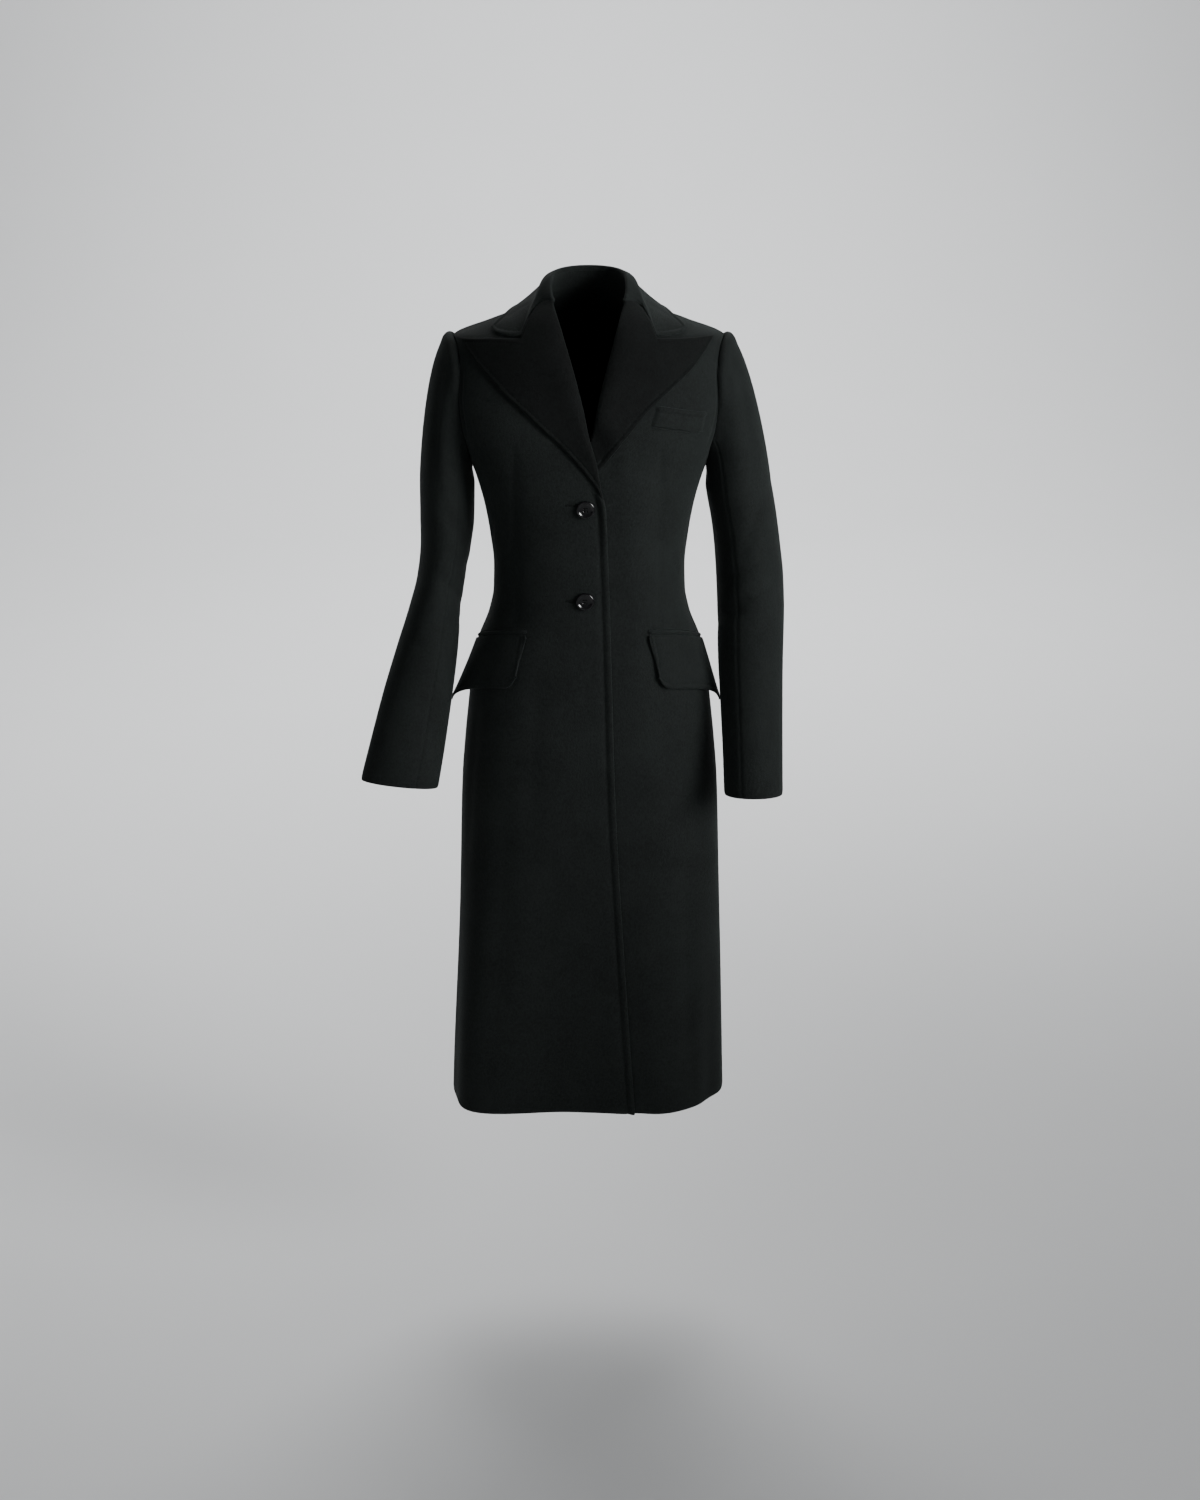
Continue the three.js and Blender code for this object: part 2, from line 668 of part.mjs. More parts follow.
function lapel(rollEdge, outerEdge, sideSign) {
  const gorge = gorgeBelow(sideSign < 0 ? mirrored(GORGE) : GORGE).slice(0, -1);
  const notch = { x: sideSign * NOTCH.x, z: NOTCH.z };
  const underCollar = { x: sideSign * UNDER_COLLAR.x, z: UNDER_COLLAR.z };
  const peak = outerEdge[outerEdge.length - 1];
  const pastNotch = DIVISIONS.lapelAcross - DIVISIONS.gorge;
  const top = cornered(flat([...gorge, notch]), DIVISIONS.gorge, flat([underCollar, peak]), pastNotch);
  const roll = [...rollEdge, top[0]];
  const place = (x, z, s, t) => frontPoint(x, z, lapelLift(s, t));
  const grid = patch([roll[0], outerEdge[0]], top, roll, outerEdge, DIVISIONS.lapelLong,
    DIVISIONS.lapelAcross, place);
  return clothWall(grid, FOLDED_CLOTH, awayFromAxis);
}

function lapels() {
  const alongRoll = (edge, { fromZ, toZ, steps, aside }) => ladder(fromZ, toZ, steps)
    .map((z) => ({ x: edge(z) + aside, z }));
  const rightRoll = alongRoll(rightEdge, LAPEL_ROLLS.right);
  const leftHidden = alongRoll(rightEdge, LAPEL_ROLLS.leftHidden);
  const leftRoll = [...leftHidden, ...alongRoll(leftEdge, LAPEL_ROLLS.left)];
  return {
    lapel_right: lapel(rightRoll, RIGHT_LAPEL_EDGE, -1),
    lapel_left: lapel(leftRoll, LEFT_LAPEL_EDGE, 1),
  };
}

function curveThrough(points, steps) {
  return new THREE.CatmullRomCurve3(points, false, 'centripetal').getSpacedPoints(steps);
}

const SHOULDER_HEIGHTS = { lowest: -60, highest: 40, halvings: 40 };

// The height of the shoulder at a place seen from above.
function shoulderHeight(x, y) {
  let low = SHOULDER_HEIGHTS.lowest;
  let high = SHOULDER_HEIGHTS.highest;
  for (let pass = 0; pass < SHOULDER_HEIGHTS.halvings; pass += 1) {
    const z = (low + high) / 2;
    const reach = y < 0 ? SECTION.front(z) : SECTION.back(z);
    const square = SECTION.square(z);
    const share = (Math.abs(x) / SECTION.half(z)) ** square + (Math.abs(y) / reach) ** square;
    if (share > 1) high = z;
    else low = z;
  }
  return (low + high) / 2;
}

// Right front end, round the back, to the left front end.
function roundTheNeck(rows, place, steps) {
  const right = rows.map((row) => place({ ...row, x: -row.x }));
  const left = rows.slice(0, -1).reverse().map(place);
  return curveThrough([...right, ...left], steps);
}

const asPoint = ({ x, y, z }) => new THREE.Vector3(x, y, z);
const COLLAR_LIFT = FOLDED_CLOTH + OVERLAY_CLEARANCE + 0.6;
// The fall rolls over at its crease, bows outwards at the back and dips in on the shoulders.
const COLLAR_BOW = { back: 4, shoulder: -5, backFromY: 45 };
const COLLAR_ROLL = { height: 3.5, width: 0.4 };
const LEAF_CLEARANCE = 4;
// The share of the collar's length over which its front ends are drawn down to the gorge and the corner.
const COLLAR_END_SHARE = 0.2;

function upperCollar() {
  const crease = roundTheNeck(COLLAR_CREASE, asPoint, DIVISIONS.collarRound);
  const onShoulder = ({ x, y }) => new THREE.Vector3(x, y, shoulderHeight(x, y) + LEAF_CLEARANCE);
  const leaf = roundTheNeck(COLLAR_LEAF_EDGE, onShoulder, DIVISIONS.collarRound);
  const endEdge = (sign) => {
    const place = ({ x, z }) => frontPoint(sign * x, z, COLLAR_LIFT);
    const pastNotch = DIVISIONS.collarFall - DIVISIONS.gorge;
    return cornered(GORGE.map(place), DIVISIONS.gorge, COLLAR_END.map(place), pastNotch);
  };
  const ends = [endEdge(-1), endEdge(1)];
  const grid = ladder(0, 1, DIVISIONS.collarRound).map((s, i) => {
    const pulls = [s, 1 - s].map((share) => Math.max(0, 1 - share / COLLAR_END_SHARE) ** 2);
    return ladder(0, 1, DIVISIONS.collarFall).map((t, j) => {
      const point = crease[i].clone().lerp(leaf[i], t);
      const behind = smoothStep(0, COLLAR_BOW.backFromY, point.y);
      const bow = mix(COLLAR_BOW.shoulder, COLLAR_BOW.back, behind) * Math.sin(Math.PI * t) ** 2;
      const crest = COLLAR_ROLL.height * Math.sin(Math.PI * Math.min(t / COLLAR_ROLL.width, 1));
      const roll = (bow + crest) * (1 - Math.max(...pulls));
      point.addScaledVector(upAndAway(point).normalize(), roll);
      pulls.forEach((pull, k) => {
        const edge = ends[k];
        const last = k === 0 ? 0 : DIVISIONS.collarRound;
        const chord = crease[last].clone().lerp(leaf[last], t);
        point.addScaledVector(edge[j].clone().sub(chord), pull);
      });
      return clearOfBody(point, COLLAR_LIFT);
    });
  });
  return clothWall(grid, FOLDED_CLOTH, upAndAway);
}

// How far the stand's top edge lies below the underside of the crease, and inside it.
const STAND_DROP = 2.2;
const STAND_INSET = 1.2;
const STAND_FOOT_GAP = 0.5;
const STAND_RISES = [0, 0.35, 0.7, 1];
// The stand starts and ends this many steps of the collar in from the front.
const STAND_END_STEPS = 4;

// The stand rises inside the collar from the neck seam to just under the crease.
function collarStand() {
  const steps = DIVISIONS.collarRound;
  const crease = roundTheNeck(COLLAR_CREASE, asPoint, steps);
  const shown = crease.slice(STAND_END_STEPS, steps + 1 - STAND_END_STEPS);
  const grid = STAND_RISES.map((rise) => shown.map((top) => {
    const turn = Math.atan2(top.x, -top.y) / Math.PI;
    const foot = bodyPoint(turn, NECK_SEAM_Z);
    foot.z = NECK_SEAM_Z + STAND_FOOT_GAP;
    const head = top.clone().setZ(top.z - FOLDED_CLOTH - STAND_DROP);
    head.addScaledVector(awayFromAxis(top).normalize(), -STAND_INSET);
    return foot.lerp(head, rise);
  }));
  return clothWall(grid, CLOTH, awayFromAxis);
}

// ---- Pockets ----

// Places on one hip: u runs from the pocket's inner end to its rear end, z is the height.
function hipPlace(side, u, shift) {
  const sign = side === 'right' ? -1 : 1;
  const inner = Math.abs(frontTurn(POCKET.innerX[side] + sign * shift, POCKET.mouthZ));
  return sign * mix(inner, POCKET.rearTurn, u);
}

const mouthHeight = (u) => POCKET.mouthZ - POCKET.mouthDrop * u ** 1.5;

function pocketJet(side) {
  const grid = [0, 1].map((rise) => ladder(0, 1, DIVISIONS.flapLong).map((u) => {
    const z = mouthHeight(u) + POCKET.jetGap + POCKET.jetHeight * rise;
    return bodyPoint(hipPlace(side, u, 0), z, CLOTH + OVERLAY_CLEARANCE);
  }));
  return clothWall(grid, CLOTH, awayFromAxis);
}

function pocketFlap(side) {
  const radius = POCKET.cornerRadius;
  const columns = ladder(0, 1, DIVISIONS.flapLong).map((step) => step ** POCKET.cornerCrowding);
  const grid = ladder(0, 1, DIVISIONS.flapDeep).map((drop) => columns.map((u) => {
    const fromCorner = Math.max(0, radius - u * POCKET.length);
    const cut = radius - Math.sqrt(radius * radius - fromCorner * fromCorner);
    const height = POCKET.flapHeight + POCKET.flapRearDrop * u * u - cut;
    const z = mouthHeight(u) - POCKET.flapGap - height * drop;
    const slant = POCKET.innerSlant * drop * (1 - u);
    const flare = POCKET.rearFlare[side] * drop ** 1.5 * smoothStep(POCKET.flareFrom, 1, u);
    const lift = FOLDED_CLOTH + OVERLAY_CLEARANCE + POCKET.innerLift * drop * drop + flare;
    return bodyPoint(hipPlace(side, u, slant), z, lift);
  }));
  return clothWall(grid, FOLDED_CLOTH, awayFromAxis);
}

function breastWelt() {
  const { innerTop, outerTop, outerBottom, innerBottom } = BREAST_WELT;
  const place = (x, z) => frontPoint(x, z, CLOTH + OVERLAY_CLEARANCE);
  const grid = patch([innerBottom, outerBottom], [innerTop, outerTop], [innerBottom, innerTop],
    [outerBottom, outerTop], DIVISIONS.weltDeep, DIVISIONS.weltLong, place);
  return clothWall(grid, CLOTH, awayFromAxis);
}

// ---- Buttons ----

// A horn button with a raised rim and a dished face, its back to the cloth.
function button() {
  const radius = BUTTON_DIAMETER / 2;
  const profile = BUTTON_PROFILE.map(({ inset, height }) => new THREE.Vector2(radius - inset, height));
  return new THREE.LatheGeometry([new THREE.Vector2(0, 0), ...profile], DIVISIONS.buttonSides);
}

// ---- The coat ----

const wool = () => new THREE.MeshStandardMaterial({ color: CLOTH_COLOUR, roughness: 0.92, metalness: 0 });
const horn = () => new THREE.MeshStandardMaterial({ color: HORN_COLOUR, roughness: 0.22, metalness: 0 });

function assemble() {
  const coat = new THREE.Group();
  const cloth = {
    ...bodyPanels(),
    ...sleeves(),
    ...lapels(),
    upper_collar: upperCollar(),
    collar_stand: collarStand(),
    breast_welt: breastWelt(),
    pocket_jet_right: pocketJet('right'),
    pocket_jet_left: pocketJet('left'),
    pocket_flap_right: pocketFlap('right'),
    pocket_flap_left: pocketFlap('left'),
  };
  for (const [name, geometry] of Object.entries(cloth)) {
    const piece = new THREE.Mesh(geometry, wool());
    piece.name = name;
    coat.add(piece);
  }
  for (const [name, place] of Object.entries(BUTTONS)) {
    const piece = new THREE.Mesh(button(), horn());
    const seat = frontPoint(place.x, place.z);
    const normal = frontPoint(place.x, place.z, 1).sub(seat).normalize();
    piece.name = name;
    piece.position.copy(seat).addScaledVector(normal, BUTTON_CLEARANCE);
    piece.quaternion.setFromUnitVectors(new THREE.Vector3(0, 1, 0), normal);
    coat.add(piece);
  }
  return coat;
}

export default assemble();
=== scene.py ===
"""The finish of a woman's chesterfield coat: its cloth shells, seams, sewing, buttons, wool and stage.

The file is laid out as an add-on. Each piece of the coat has an operator that builds it around the
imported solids, and main() calls them in order. Places and sizes of the coat are in millimetres.
"""

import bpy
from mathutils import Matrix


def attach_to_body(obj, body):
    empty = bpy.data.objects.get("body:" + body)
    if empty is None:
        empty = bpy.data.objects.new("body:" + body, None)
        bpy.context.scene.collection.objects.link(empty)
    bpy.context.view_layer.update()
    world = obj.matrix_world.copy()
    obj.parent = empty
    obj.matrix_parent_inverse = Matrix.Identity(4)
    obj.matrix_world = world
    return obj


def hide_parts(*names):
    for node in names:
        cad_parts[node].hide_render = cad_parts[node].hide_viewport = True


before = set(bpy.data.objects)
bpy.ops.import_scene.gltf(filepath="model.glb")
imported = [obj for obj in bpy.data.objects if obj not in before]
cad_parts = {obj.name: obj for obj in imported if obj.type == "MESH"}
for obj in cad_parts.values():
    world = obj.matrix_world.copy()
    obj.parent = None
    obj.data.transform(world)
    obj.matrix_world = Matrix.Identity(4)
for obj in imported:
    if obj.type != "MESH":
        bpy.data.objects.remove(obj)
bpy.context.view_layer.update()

import math

import bpy
import numpy as np
from bpy.props import FloatProperty, FloatVectorProperty, PointerProperty
from mathutils import Matrix, Vector

bl_info = {
    "name": "Chesterfield coat",
    "version": (1, 0, 0),
    "blender": (4, 5, 0),
    "location": "View3D > Sidebar > Coat",
    "description": "Builds the cloth, sewing and buttons of a chesterfield coat around its solids",
    "category": "Object",
}

MM = 0.001
# The lapel wool is the coat wool with painted shade: its colours are darker.
WOOL, SHADED_FACING, HORN, THREAD = "Coat wool", "Lapel wool painted darker", "Polished horn", "Sewing thread"
SIGN = {"right": -1, "left": 1}


# ---- Tables: the coat's own measures ----

def table(columns, rows):
    """A dictionary of columns from a short table."""
    values = np.array(rows, float)
    return {name: values[:, k] for k, name in enumerate(columns.split())}


HEM_Z = -1088.0
NECK_SEAM_Z = 33.0
# Clearances between a piece of cloth and the one it lies on.
LAP_CLEARANCE = 0.9
OVERLAY = 0.9
COLLAR_CLEARANCE = 0.6
SEAM_INSET = 0.2

# Level sections of the body: half width, reach to front and back, squareness.
BODY = table("z half front back square", [
    (-1090, 189, 101, 112, 2.5), (-900, 183, 103, 114, 2.5), (-760, 178, 106, 117, 2.45),
    (-620, 173, 108, 119, 2.4), (-560, 168, 108, 119, 2.4), (-514, 163, 108, 117, 2.4),
    (-465, 157, 107, 112, 2.4), (-430, 150, 106, 107, 2.35), (-385, 133, 104, 99, 2.35),
    (-355, 127, 104, 96, 2.3), (-320, 126, 106, 96, 2.3), (-280, 130, 109, 100, 2.35),
    (-240, 136.5, 113, 105, 2.4), (-200, 147, 116, 109, 2.45), (-160, 162, 114, 112, 2.5),
    (-130, 174, 110, 113, 2.6), (-95, 181, 104, 111, 2.6), (-55, 182, 94, 106, 2.3),
    (-20, 174, 82, 95, 2.0), (-2, 131, 75, 86, 1.9), (12, 93, 68, 76, 1.9),
    (24, 69, 62, 65, 1.95), (36, 57, 58, 57, 2.0),
])
# Upright folds of the skirt: turn is 0 at the centre front, 0.5 at the left side, 1 at the centre back.
SKIRT_FOLDS = table("turn spread depth top_z", [
    (-0.27, 0.11, 24, -610), (-0.47, 0.08, 5, -800), (-0.04, 0.09, -10, -560),
    (0.16, 0.07, 5, -700), (0.36, 0.07, -7, -720), (-0.62, 0.07, 9, -640),
    (-0.82, 0.06, -8, -600), (0.68, 0.08, 11, -600), (0.88, 0.06, -7, -640),
])
# Soft creases of the body: middle, direction from upright in degrees, half length, half width, depth.
BODY_CREASES = table("turn z lean long wide deep", [
    (-0.335, -95, 8, 42, 7, -2.2), (-0.30, -150, -14, 46, 10, -1.4), (0.345, -110, -6, 40, 8, -1.6),
    (-0.30, -300, 62, 34, 9, -1.6), (-0.40, -268, 70, 26, 8, -1.8), (0.33, -305, -66, 34, 9, -1.5),
    (0.42, -276, -72, 26, 8, -1.7), (-0.12, -560, 2, 120, 22, -1.6), (-0.20, -820, -1, 190, 26, -2.2),
    (0.10, -640, -3, 150, 24, -1.4), (0.24, -880, 2, 150, 24, -1.8), (-0.36, -620, 4, 110, 20, -1.6),
    (0.62, -300, 68, 36, 9, -1.8), (-0.60, -312, -66, 38, 9, -1.8), (0.80, -330, 82, 40, 8, -1.4),
    (-0.84, -286, -84, 36, 8, -1.3), (0.74, -110, 12, 60, 11, -1.8), (-0.72, -120, -12, 60, 11, -1.8),
    (-0.70, -700, 3, 170, 26, -2.2), (0.58, -760, -3, 180, 26, -2.2), (0.80, -820, 2, 150, 24, -1.8),
    (-0.90, -760, -2, 150, 22, -1.6),
])
BODY_ROUND = 880.0
WAIST_DARTS = table("x top_z bottom_z", [(-96, -128, -388), (92, -128, -388)])
# A dart's fine line and its shallow dip: depth and width.
DART_LINE, DART_DIP = (1.1, 3.2), (1.6, 13)
ARMHOLE = {"mid_z": -104, "half_height": 85, "front": 57, "back": 60, "roundness": 2.2}
RIGHT_EDGE = table("z x", [
    (-1090, 62.4), (-806, 44), (-618, 33.8), (-465, 29.3), (-344, 25.9), (-284, 23.7), (-222, 21.4),
    (-212, 19.6), (-202, 17.4), (-190, 15.8), (-171, 13.6), (-128, 2), (-99, -4), (-54, -16), (-22, -26),
    (2, -34), (18, -40), (40, -48),
])
LEFT_EDGE = table("z x", [
    (-1090, 10), (-806, -8), (-618, -20), (-465, -29), (-344, -32), (-225, -32), (-185, -22),
    (-155, -9), (-128, 3.4), (-99, 8), (-54, 19), (-22, 28), (2, 35), (18, 40), (40, 48),
])
GORGE = table("x z", [(45.5, 30.5), (54, 27), (65, 18), (76, 5), (84.5, -10.5)])
COLLAR_END = table("x z", [(84.5, -10.5), (94, -11.6), (108, -11), (118, -9.6), (122.5, -5.5)])
COLLAR_CREASE = table("x y z", [
    (45.5, -44, 32), (48.5, -31, 43), (49.5, -14, 54), (48.5, 3, 58.8),
    (43, 24, 59.6), (33, 41, 60.2), (18, 51, 60.8), (0, 54, 61),
])
COLLAR_LEAF = table("x y", [
    (122.5, -44), (117, -33), (107, -15), (101, 5), (92, 30), (76, 52), (53, 70), (27, 79), (0, 81.5),
])
RIGHT_LAPEL_EDGE = table("x z", [
    (14.8, -208.5), (10.3, -195), (1.6, -182.2), (-7.5, -170.5), (-16, -161), (-37.5, -138.5),
    (-60, -118.5), (-82, -98.5), (-104, -80), (-129, -55), (-145, -39.5), (-160.5, -20),
])
LEFT_LAPEL_EDGE = table("x z", [
    (5, -178), (14.4, -170), (29, -151.7), (50.8, -125.5), (75.6, -97), (103.3, -72.8), (128, -51.5),
    (143, -34.5), (157, -17),
])
# The notch between collar and lapel, and where the lapel's top edge comes out from under the collar.
NOTCH = (85.0, -15.0)
UNDER_COLLAR = (124.0, -16.5)
SLEEVES = {
    "right": table("z x y wide deep", [
        (-216, -186, 4, 36, 66), (-262, -187, 5, 35.5, 68), (-300, -190, 4, 33, 67),
        (-344, -197, 0, 31.5, 64), (-385, -205, -8, 34.5, 58), (-436, -215.5, -24, 40.5, 51),
        (-498, -229.5, -46, 46, 44), (-556, -242, -68, 49.5, 38), (-601, -252, -86, 51.5, 35),
    ]),
    "left": table("z x y wide deep", [
        (-216, 195.5, 4, 43, 64), (-262, 204, 5, 43, 64), (-300, 209, 4, 43.5, 62),
        (-344, 213, 0, 44.5, 60), (-385, 214.5, -7, 44.5, 57), (-436, 214.5, -22, 43.5, 54),
        (-502, 216, -42, 41.5, 51), (-560, 217.5, -63, 40, 49), (-616, 218.5, -86, 39, 48),
    ]),
}
SLEEVE_HEAD = {
    "right": {"lift": 30, "fullness": 92, "settle": 150},
    "left": {"lift": 22, "fullness": 84, "settle": 112},
}
# Light gathers round the sleeve's head, and the roped ridge beside its seam.
GATHER = {"height": 0.55, "from_seam": 9, "width": 10}
ROPE = (3.4, 11, 9)
UNDERARM_REACH = 26
HEAD_CLEARANCE = 0.9
UNDER_SLEEVE_SPAN = 62
SLEEVE_LENGTH = 390.0
HEAD_LENGTH = 120.0
SLEEVE_ROUND = 52
SLEEVE_INSET = 0.3
# Creases of the sleeves: share of the length below the head, angle from outside, lean, and size.
SLEEVE_CREASES = {
    "right": table("share angle lean long wide deep", [
        (0.26, 150, 78, 34, 8, -3.0), (0.33, 120, 70, 38, 8, -2.6), (0.40, 160, 84, 32, 8, -2.6),
        (0.10, 110, 40, 40, 9, -1.8), (-0.12, 60, 20, 42, 9, -1.8), (-0.20, -50, -20, 46, 10, -1.8),
        (0.55, 60, 66, 36, 9, -1.5), (0.30, -120, -72, 36, 9, -2.0), (0.44, -150, -80, 32, 8, -1.8),
    ]),
    "left": table("share angle lean long wide deep", [
        (0.28, 120, 74, 38, 9, -2.6), (0.36, 90, 66, 40, 9, -2.2), (0.43, 140, 82, 34, 9, -2.4),
        (0.12, 80, 30, 44, 10, -1.8), (-0.14, 50, 16, 44, 9, -1.6), (-0.22, -55, -18, 46, 10, -1.8),
        (0.62, 60, 72, 36, 9, -1.4), (0.32, -120, -74, 38, 9, -2.0), (0.46, -145, -80, 34, 9, -1.8),
    ]),
}
POCKET = {
    "inner_x": {"right": -82, "left": 78}, "mouth_z": -396, "drop": 27, "rear_turn": 0.475, "mouth_gap": 0.4,
    "jet": 9.0, "height": 70, "rear_drop": 15, "slant": 1, "corner": 15, "length": 118,
    "lift": 3, "flare": {"right": 18, "left": 8}, "flare_from": 0.38,
}
# A jet's height above the coat, across its width: a full fold between two sunk seams.
JET_PROFILE = table("across lift", [
    (-1, 0.3), (-0.64, 0.1), (-0.5, 2.9), (0, 3.8), (0.42, 2.9), (0.56, 0.1), (0.74, 0.1), (0.88, 1.7),
    (1, 1.3),
])
JET_END = np.array([0, 0.25, 0.8, 1.6, 2.6, 3.8])
JET = {"thickness": 1.6, "blunt": 0.12, "end_lift": 0.4, "pucker": 0.3}
WELT = {"inner_top": (83.5, -92), "outer_top": (152, -106), "outer_bottom": (146, -133.5),
        "inner_bottom": (75, -118.5), "length": 68, "seam": 4.2, "face": 20, "sewn": 0.12, "sunk": -0.5}
# The welt's height above the coat, up from its lower edge: a lip, the sunk seam, then its full face.
WELT_PROFILE = table("up lift", [
    (0, 0.5), (0.7, 1.1), (1.4, 0.1), (2.4, 0.1), (3.6, 2.2), (25, 2.9), (40, 2.9),
])
WELT_THICKNESS = 1.8
# Each button's place, and the height of its buttonhole.
BUTTONS = {"button_top": (-4, -221, -216.5), "button_lower": (-5, -345, -346)}
BUTTON = {"clearance": 0.5, "hole_ring": 2.3, "hole": 0.95, "hole_reach": (-2, 8), "profile_radius": 11.75,
          "thread": 0.33, "strand": 0.34, "thread_rim": 2.4, "thread_top": 3.25}
BUTTONHOLE = {"length": 27.0, "width": 1.9, "toward_edge": 2.5, "bead": 0.75, "stitch": 1.0}
# The soft roll of the right front's edge, and the groove beside it.
EDGE_ROLL = {"height": 1.8, "foot_height": 3.0, "from_edge": 2.0, "width": 4.4,
             "groove": 1.4, "groove_from_edge": 9.4, "groove_width": 2.4}
# Relief of the sewn edges. Each is a height, its distance from the edge, and its width.
TURNED_RIDGE, TURNED_RIM = (0.45, 2.8, 2.0), (0.4, 0, 0.9)
SEAM_SWELL, SEAM_DIP, HEM_DIP = (0.16, 5, 2.8), (0.45, 0, 1.7), (0.5, 0, 2.2)
STITCH_GROOVE = {"depth": 0.5, "width": 1.5}


# ---- Curves ----

def through(rows, key, along="z"):
    """A smooth curve through a table that never overshoots between its rows."""
    xs, ys = rows[along], rows[key]
    steps = np.diff(xs)
    slopes = np.diff(ys) / steps
    tangents = np.empty_like(ys)
    tangents[0], tangents[-1] = slopes[0], slopes[-1]
    for i in range(1, len(xs) - 1):
        before, after = slopes[i - 1], slopes[i]
        if before * after <= 0:
            tangents[i] = 0
        else:
            a, b = 2 * steps[i] + steps[i - 1], steps[i] + 2 * steps[i - 1]
            tangents[i] = (a + b) / (a / before + b / after)

    def curve(value):
        x = np.clip(np.asarray(value, float), xs[0], xs[-1])
        i = np.clip(np.searchsorted(xs, x) - 1, 0, len(xs) - 2)
        t = (x - xs[i]) / steps[i]
        rest = 1 - t
        return (ys[i] * (1 + 2 * t) * rest * rest + steps[i] * tangents[i] * t * rest * rest
                + ys[i + 1] * t * t * (3 - 2 * t) - steps[i] * tangents[i + 1] * t * t * rest)

    return curve


def falling(rows):
    """The same table with its rows in the opposite order."""
    return {name: values[::-1] for name, values in rows.items()}


def smooth_step(start, end, value):
    t = np.clip((value - start) / (end - start), 0, 1)
    return t * t * (3 - 2 * t)


def chosen(name):
    """A size that the user set, in millimetres."""
    return getattr(bpy.context.scene.coat_cloth, name) / MM


def mix(a, b, t):
    return a + (b - a) * t


def hump(value, height, middle, width):
    """A rounded ridge that fades out on both sides of its middle."""
    return height * np.exp(-(((value - middle) / width) ** 2))


def power_of(value, power):
    return np.sign(value) * np.abs(value) ** power


def unit(vectors):
    return vectors / np.maximum(np.linalg.norm(vectors, axis=-1, keepdims=True), 1e-9)


def lengths_along(points):
    gaps = np.linalg.norm(np.diff(points, axis=0), axis=1)
    return np.concatenate([[0], np.cumsum(gaps)])


def resampled(points, distances):
    """Points at the given distances along a line."""
    run = lengths_along(points)
    return np.stack([np.interp(distances, run, points[:, k]) for k in range(points.shape[1])], axis=1)


def spaced(points, count):
    return resampled(points, np.linspace(0, lengths_along(points)[-1], count))


def at_shares(points, shares):
    """Points at the given shares of a line's length."""
    return resampled(points, shares * lengths_along(points)[-1])


def rounded_line(points, count):
    """A centripetal Catmull-Rom curve through the points, at even distances."""
    ends = np.vstack([2 * points[0] - points[1], points, 2 * points[-1] - points[-2]])
    fine = []
    for p0, p1, p2, p3 in zip(ends[:-3], ends[1:-2], ends[2:-1], ends[3:]):
        knots = np.cumsum([0] + [np.linalg.norm(b - a) ** 0.5 for a, b in ((p0, p1), (p1, p2), (p2, p3))])
        t = np.linspace(knots[1], knots[2], 24, endpoint=False)[:, None]
        a1 = mix(p0, p1, (t - knots[0]) / (knots[1] - knots[0]))
        a2 = mix(p1, p2, (t - knots[1]) / (knots[2] - knots[1]))
        a3 = mix(p2, p3, (t - knots[2]) / (knots[3] - knots[2]))
        b1 = mix(a1, a2, (t - knots[0]) / (knots[2] - knots[0]))
        b2 = mix(a2, a3, (t - knots[1]) / (knots[3] - knots[1]))
        fine.append(mix(b1, b2, (t - knots[1]) / (knots[2] - knots[1])))
    return spaced(np.vstack([*fine, points[-1:]]), count)


# Distances from a sewn edge at which the cloth is divided finely, for its ridge and stitch groove.
EDGE_STEPS = np.array([0, 0.7, 1.5, 2.8, 4.2, 5.6, 6.8, 8.0, 9.4, 11.8, 15])


def graded(length, middle, first=True, last=True):
    """Distances along a row: fine at its sewn ends, even in between."""
    scale = min(1.0, length / (2.6 * EDGE_STEPS[-1]))
    head = EDGE_STEPS * scale if first else np.array([0.0])
    tail = length - (EDGE_STEPS * scale)[::-1] if last else np.array([length])
    return np.concatenate([head, np.linspace(head[-1], tail[0], middle + 2)[1:-1], tail])


def graded_shares(length, middle, first=True, last=True):
    """The same distances as shares of the length."""
    return graded(length, middle, first, last) / length


# ---- The body's surface ----

HALF, FRONT, BACK, SQUARE = (through(BODY, key) for key in ("half", "front", "back", "square"))


def skirt_fold(turn, z):
    depth = 0
    for centre, spread, deep, top in zip(*SKIRT_FOLDS.values()):
        depth = depth + hump(turn, deep, centre, spread) * smooth_step(top, HEM_Z, z)
    return depth


def crease(across, along, lean, long, wide, deep):
    """A soft trough: rounded across, and fading out towards its ends."""
    angle = math.radians(lean)
    u = across * math.cos(angle) - along * math.sin(angle)
    v = across * math.sin(angle) + along * math.cos(angle)
    return hump(u, deep, 0, wide) * np.exp(-((v / long) ** 4))


def body_relief(turn, z, x):
    """The low relief of the body: creases, and the darts' fine lines in a shallow dip."""
    relief = 0
    for centre, height, *shape in zip(*BODY_CREASES.values()):
        relief = relief + crease((turn - centre) * BODY_ROUND, z - height, *shape)
    for dart_x, top, bottom in zip(*WAIST_DARTS.values()):
        run = smooth_step(top, top - 40, z) * smooth_step(bottom - 2, bottom + 6, z) * (np.abs(turn) < 0.5)
        line, dip = (hump(x, depth, dart_x, width) for depth, width in (DART_LINE, DART_DIP))
        relief = relief - run * (line + dip)
    return relief


def bare_body(turn, z):
    angle = np.abs(turn) * math.pi
    power = 2 / SQUARE(z)
    reach = np.where(np.cos(angle) > 0, FRONT(z), BACK(z))
    x = np.sign(turn) * HALF(z) * np.abs(np.sin(angle)) ** power
    y = -reach * power_of(np.cos(angle), power)
    point = np.stack([x, y, z + 0 * x], axis=-1)
    outwards = unit(np.stack([x, y * 1.6, 0 * x], axis=-1))
    return point + outwards * np.asarray(skirt_fold(turn, z))[..., None]


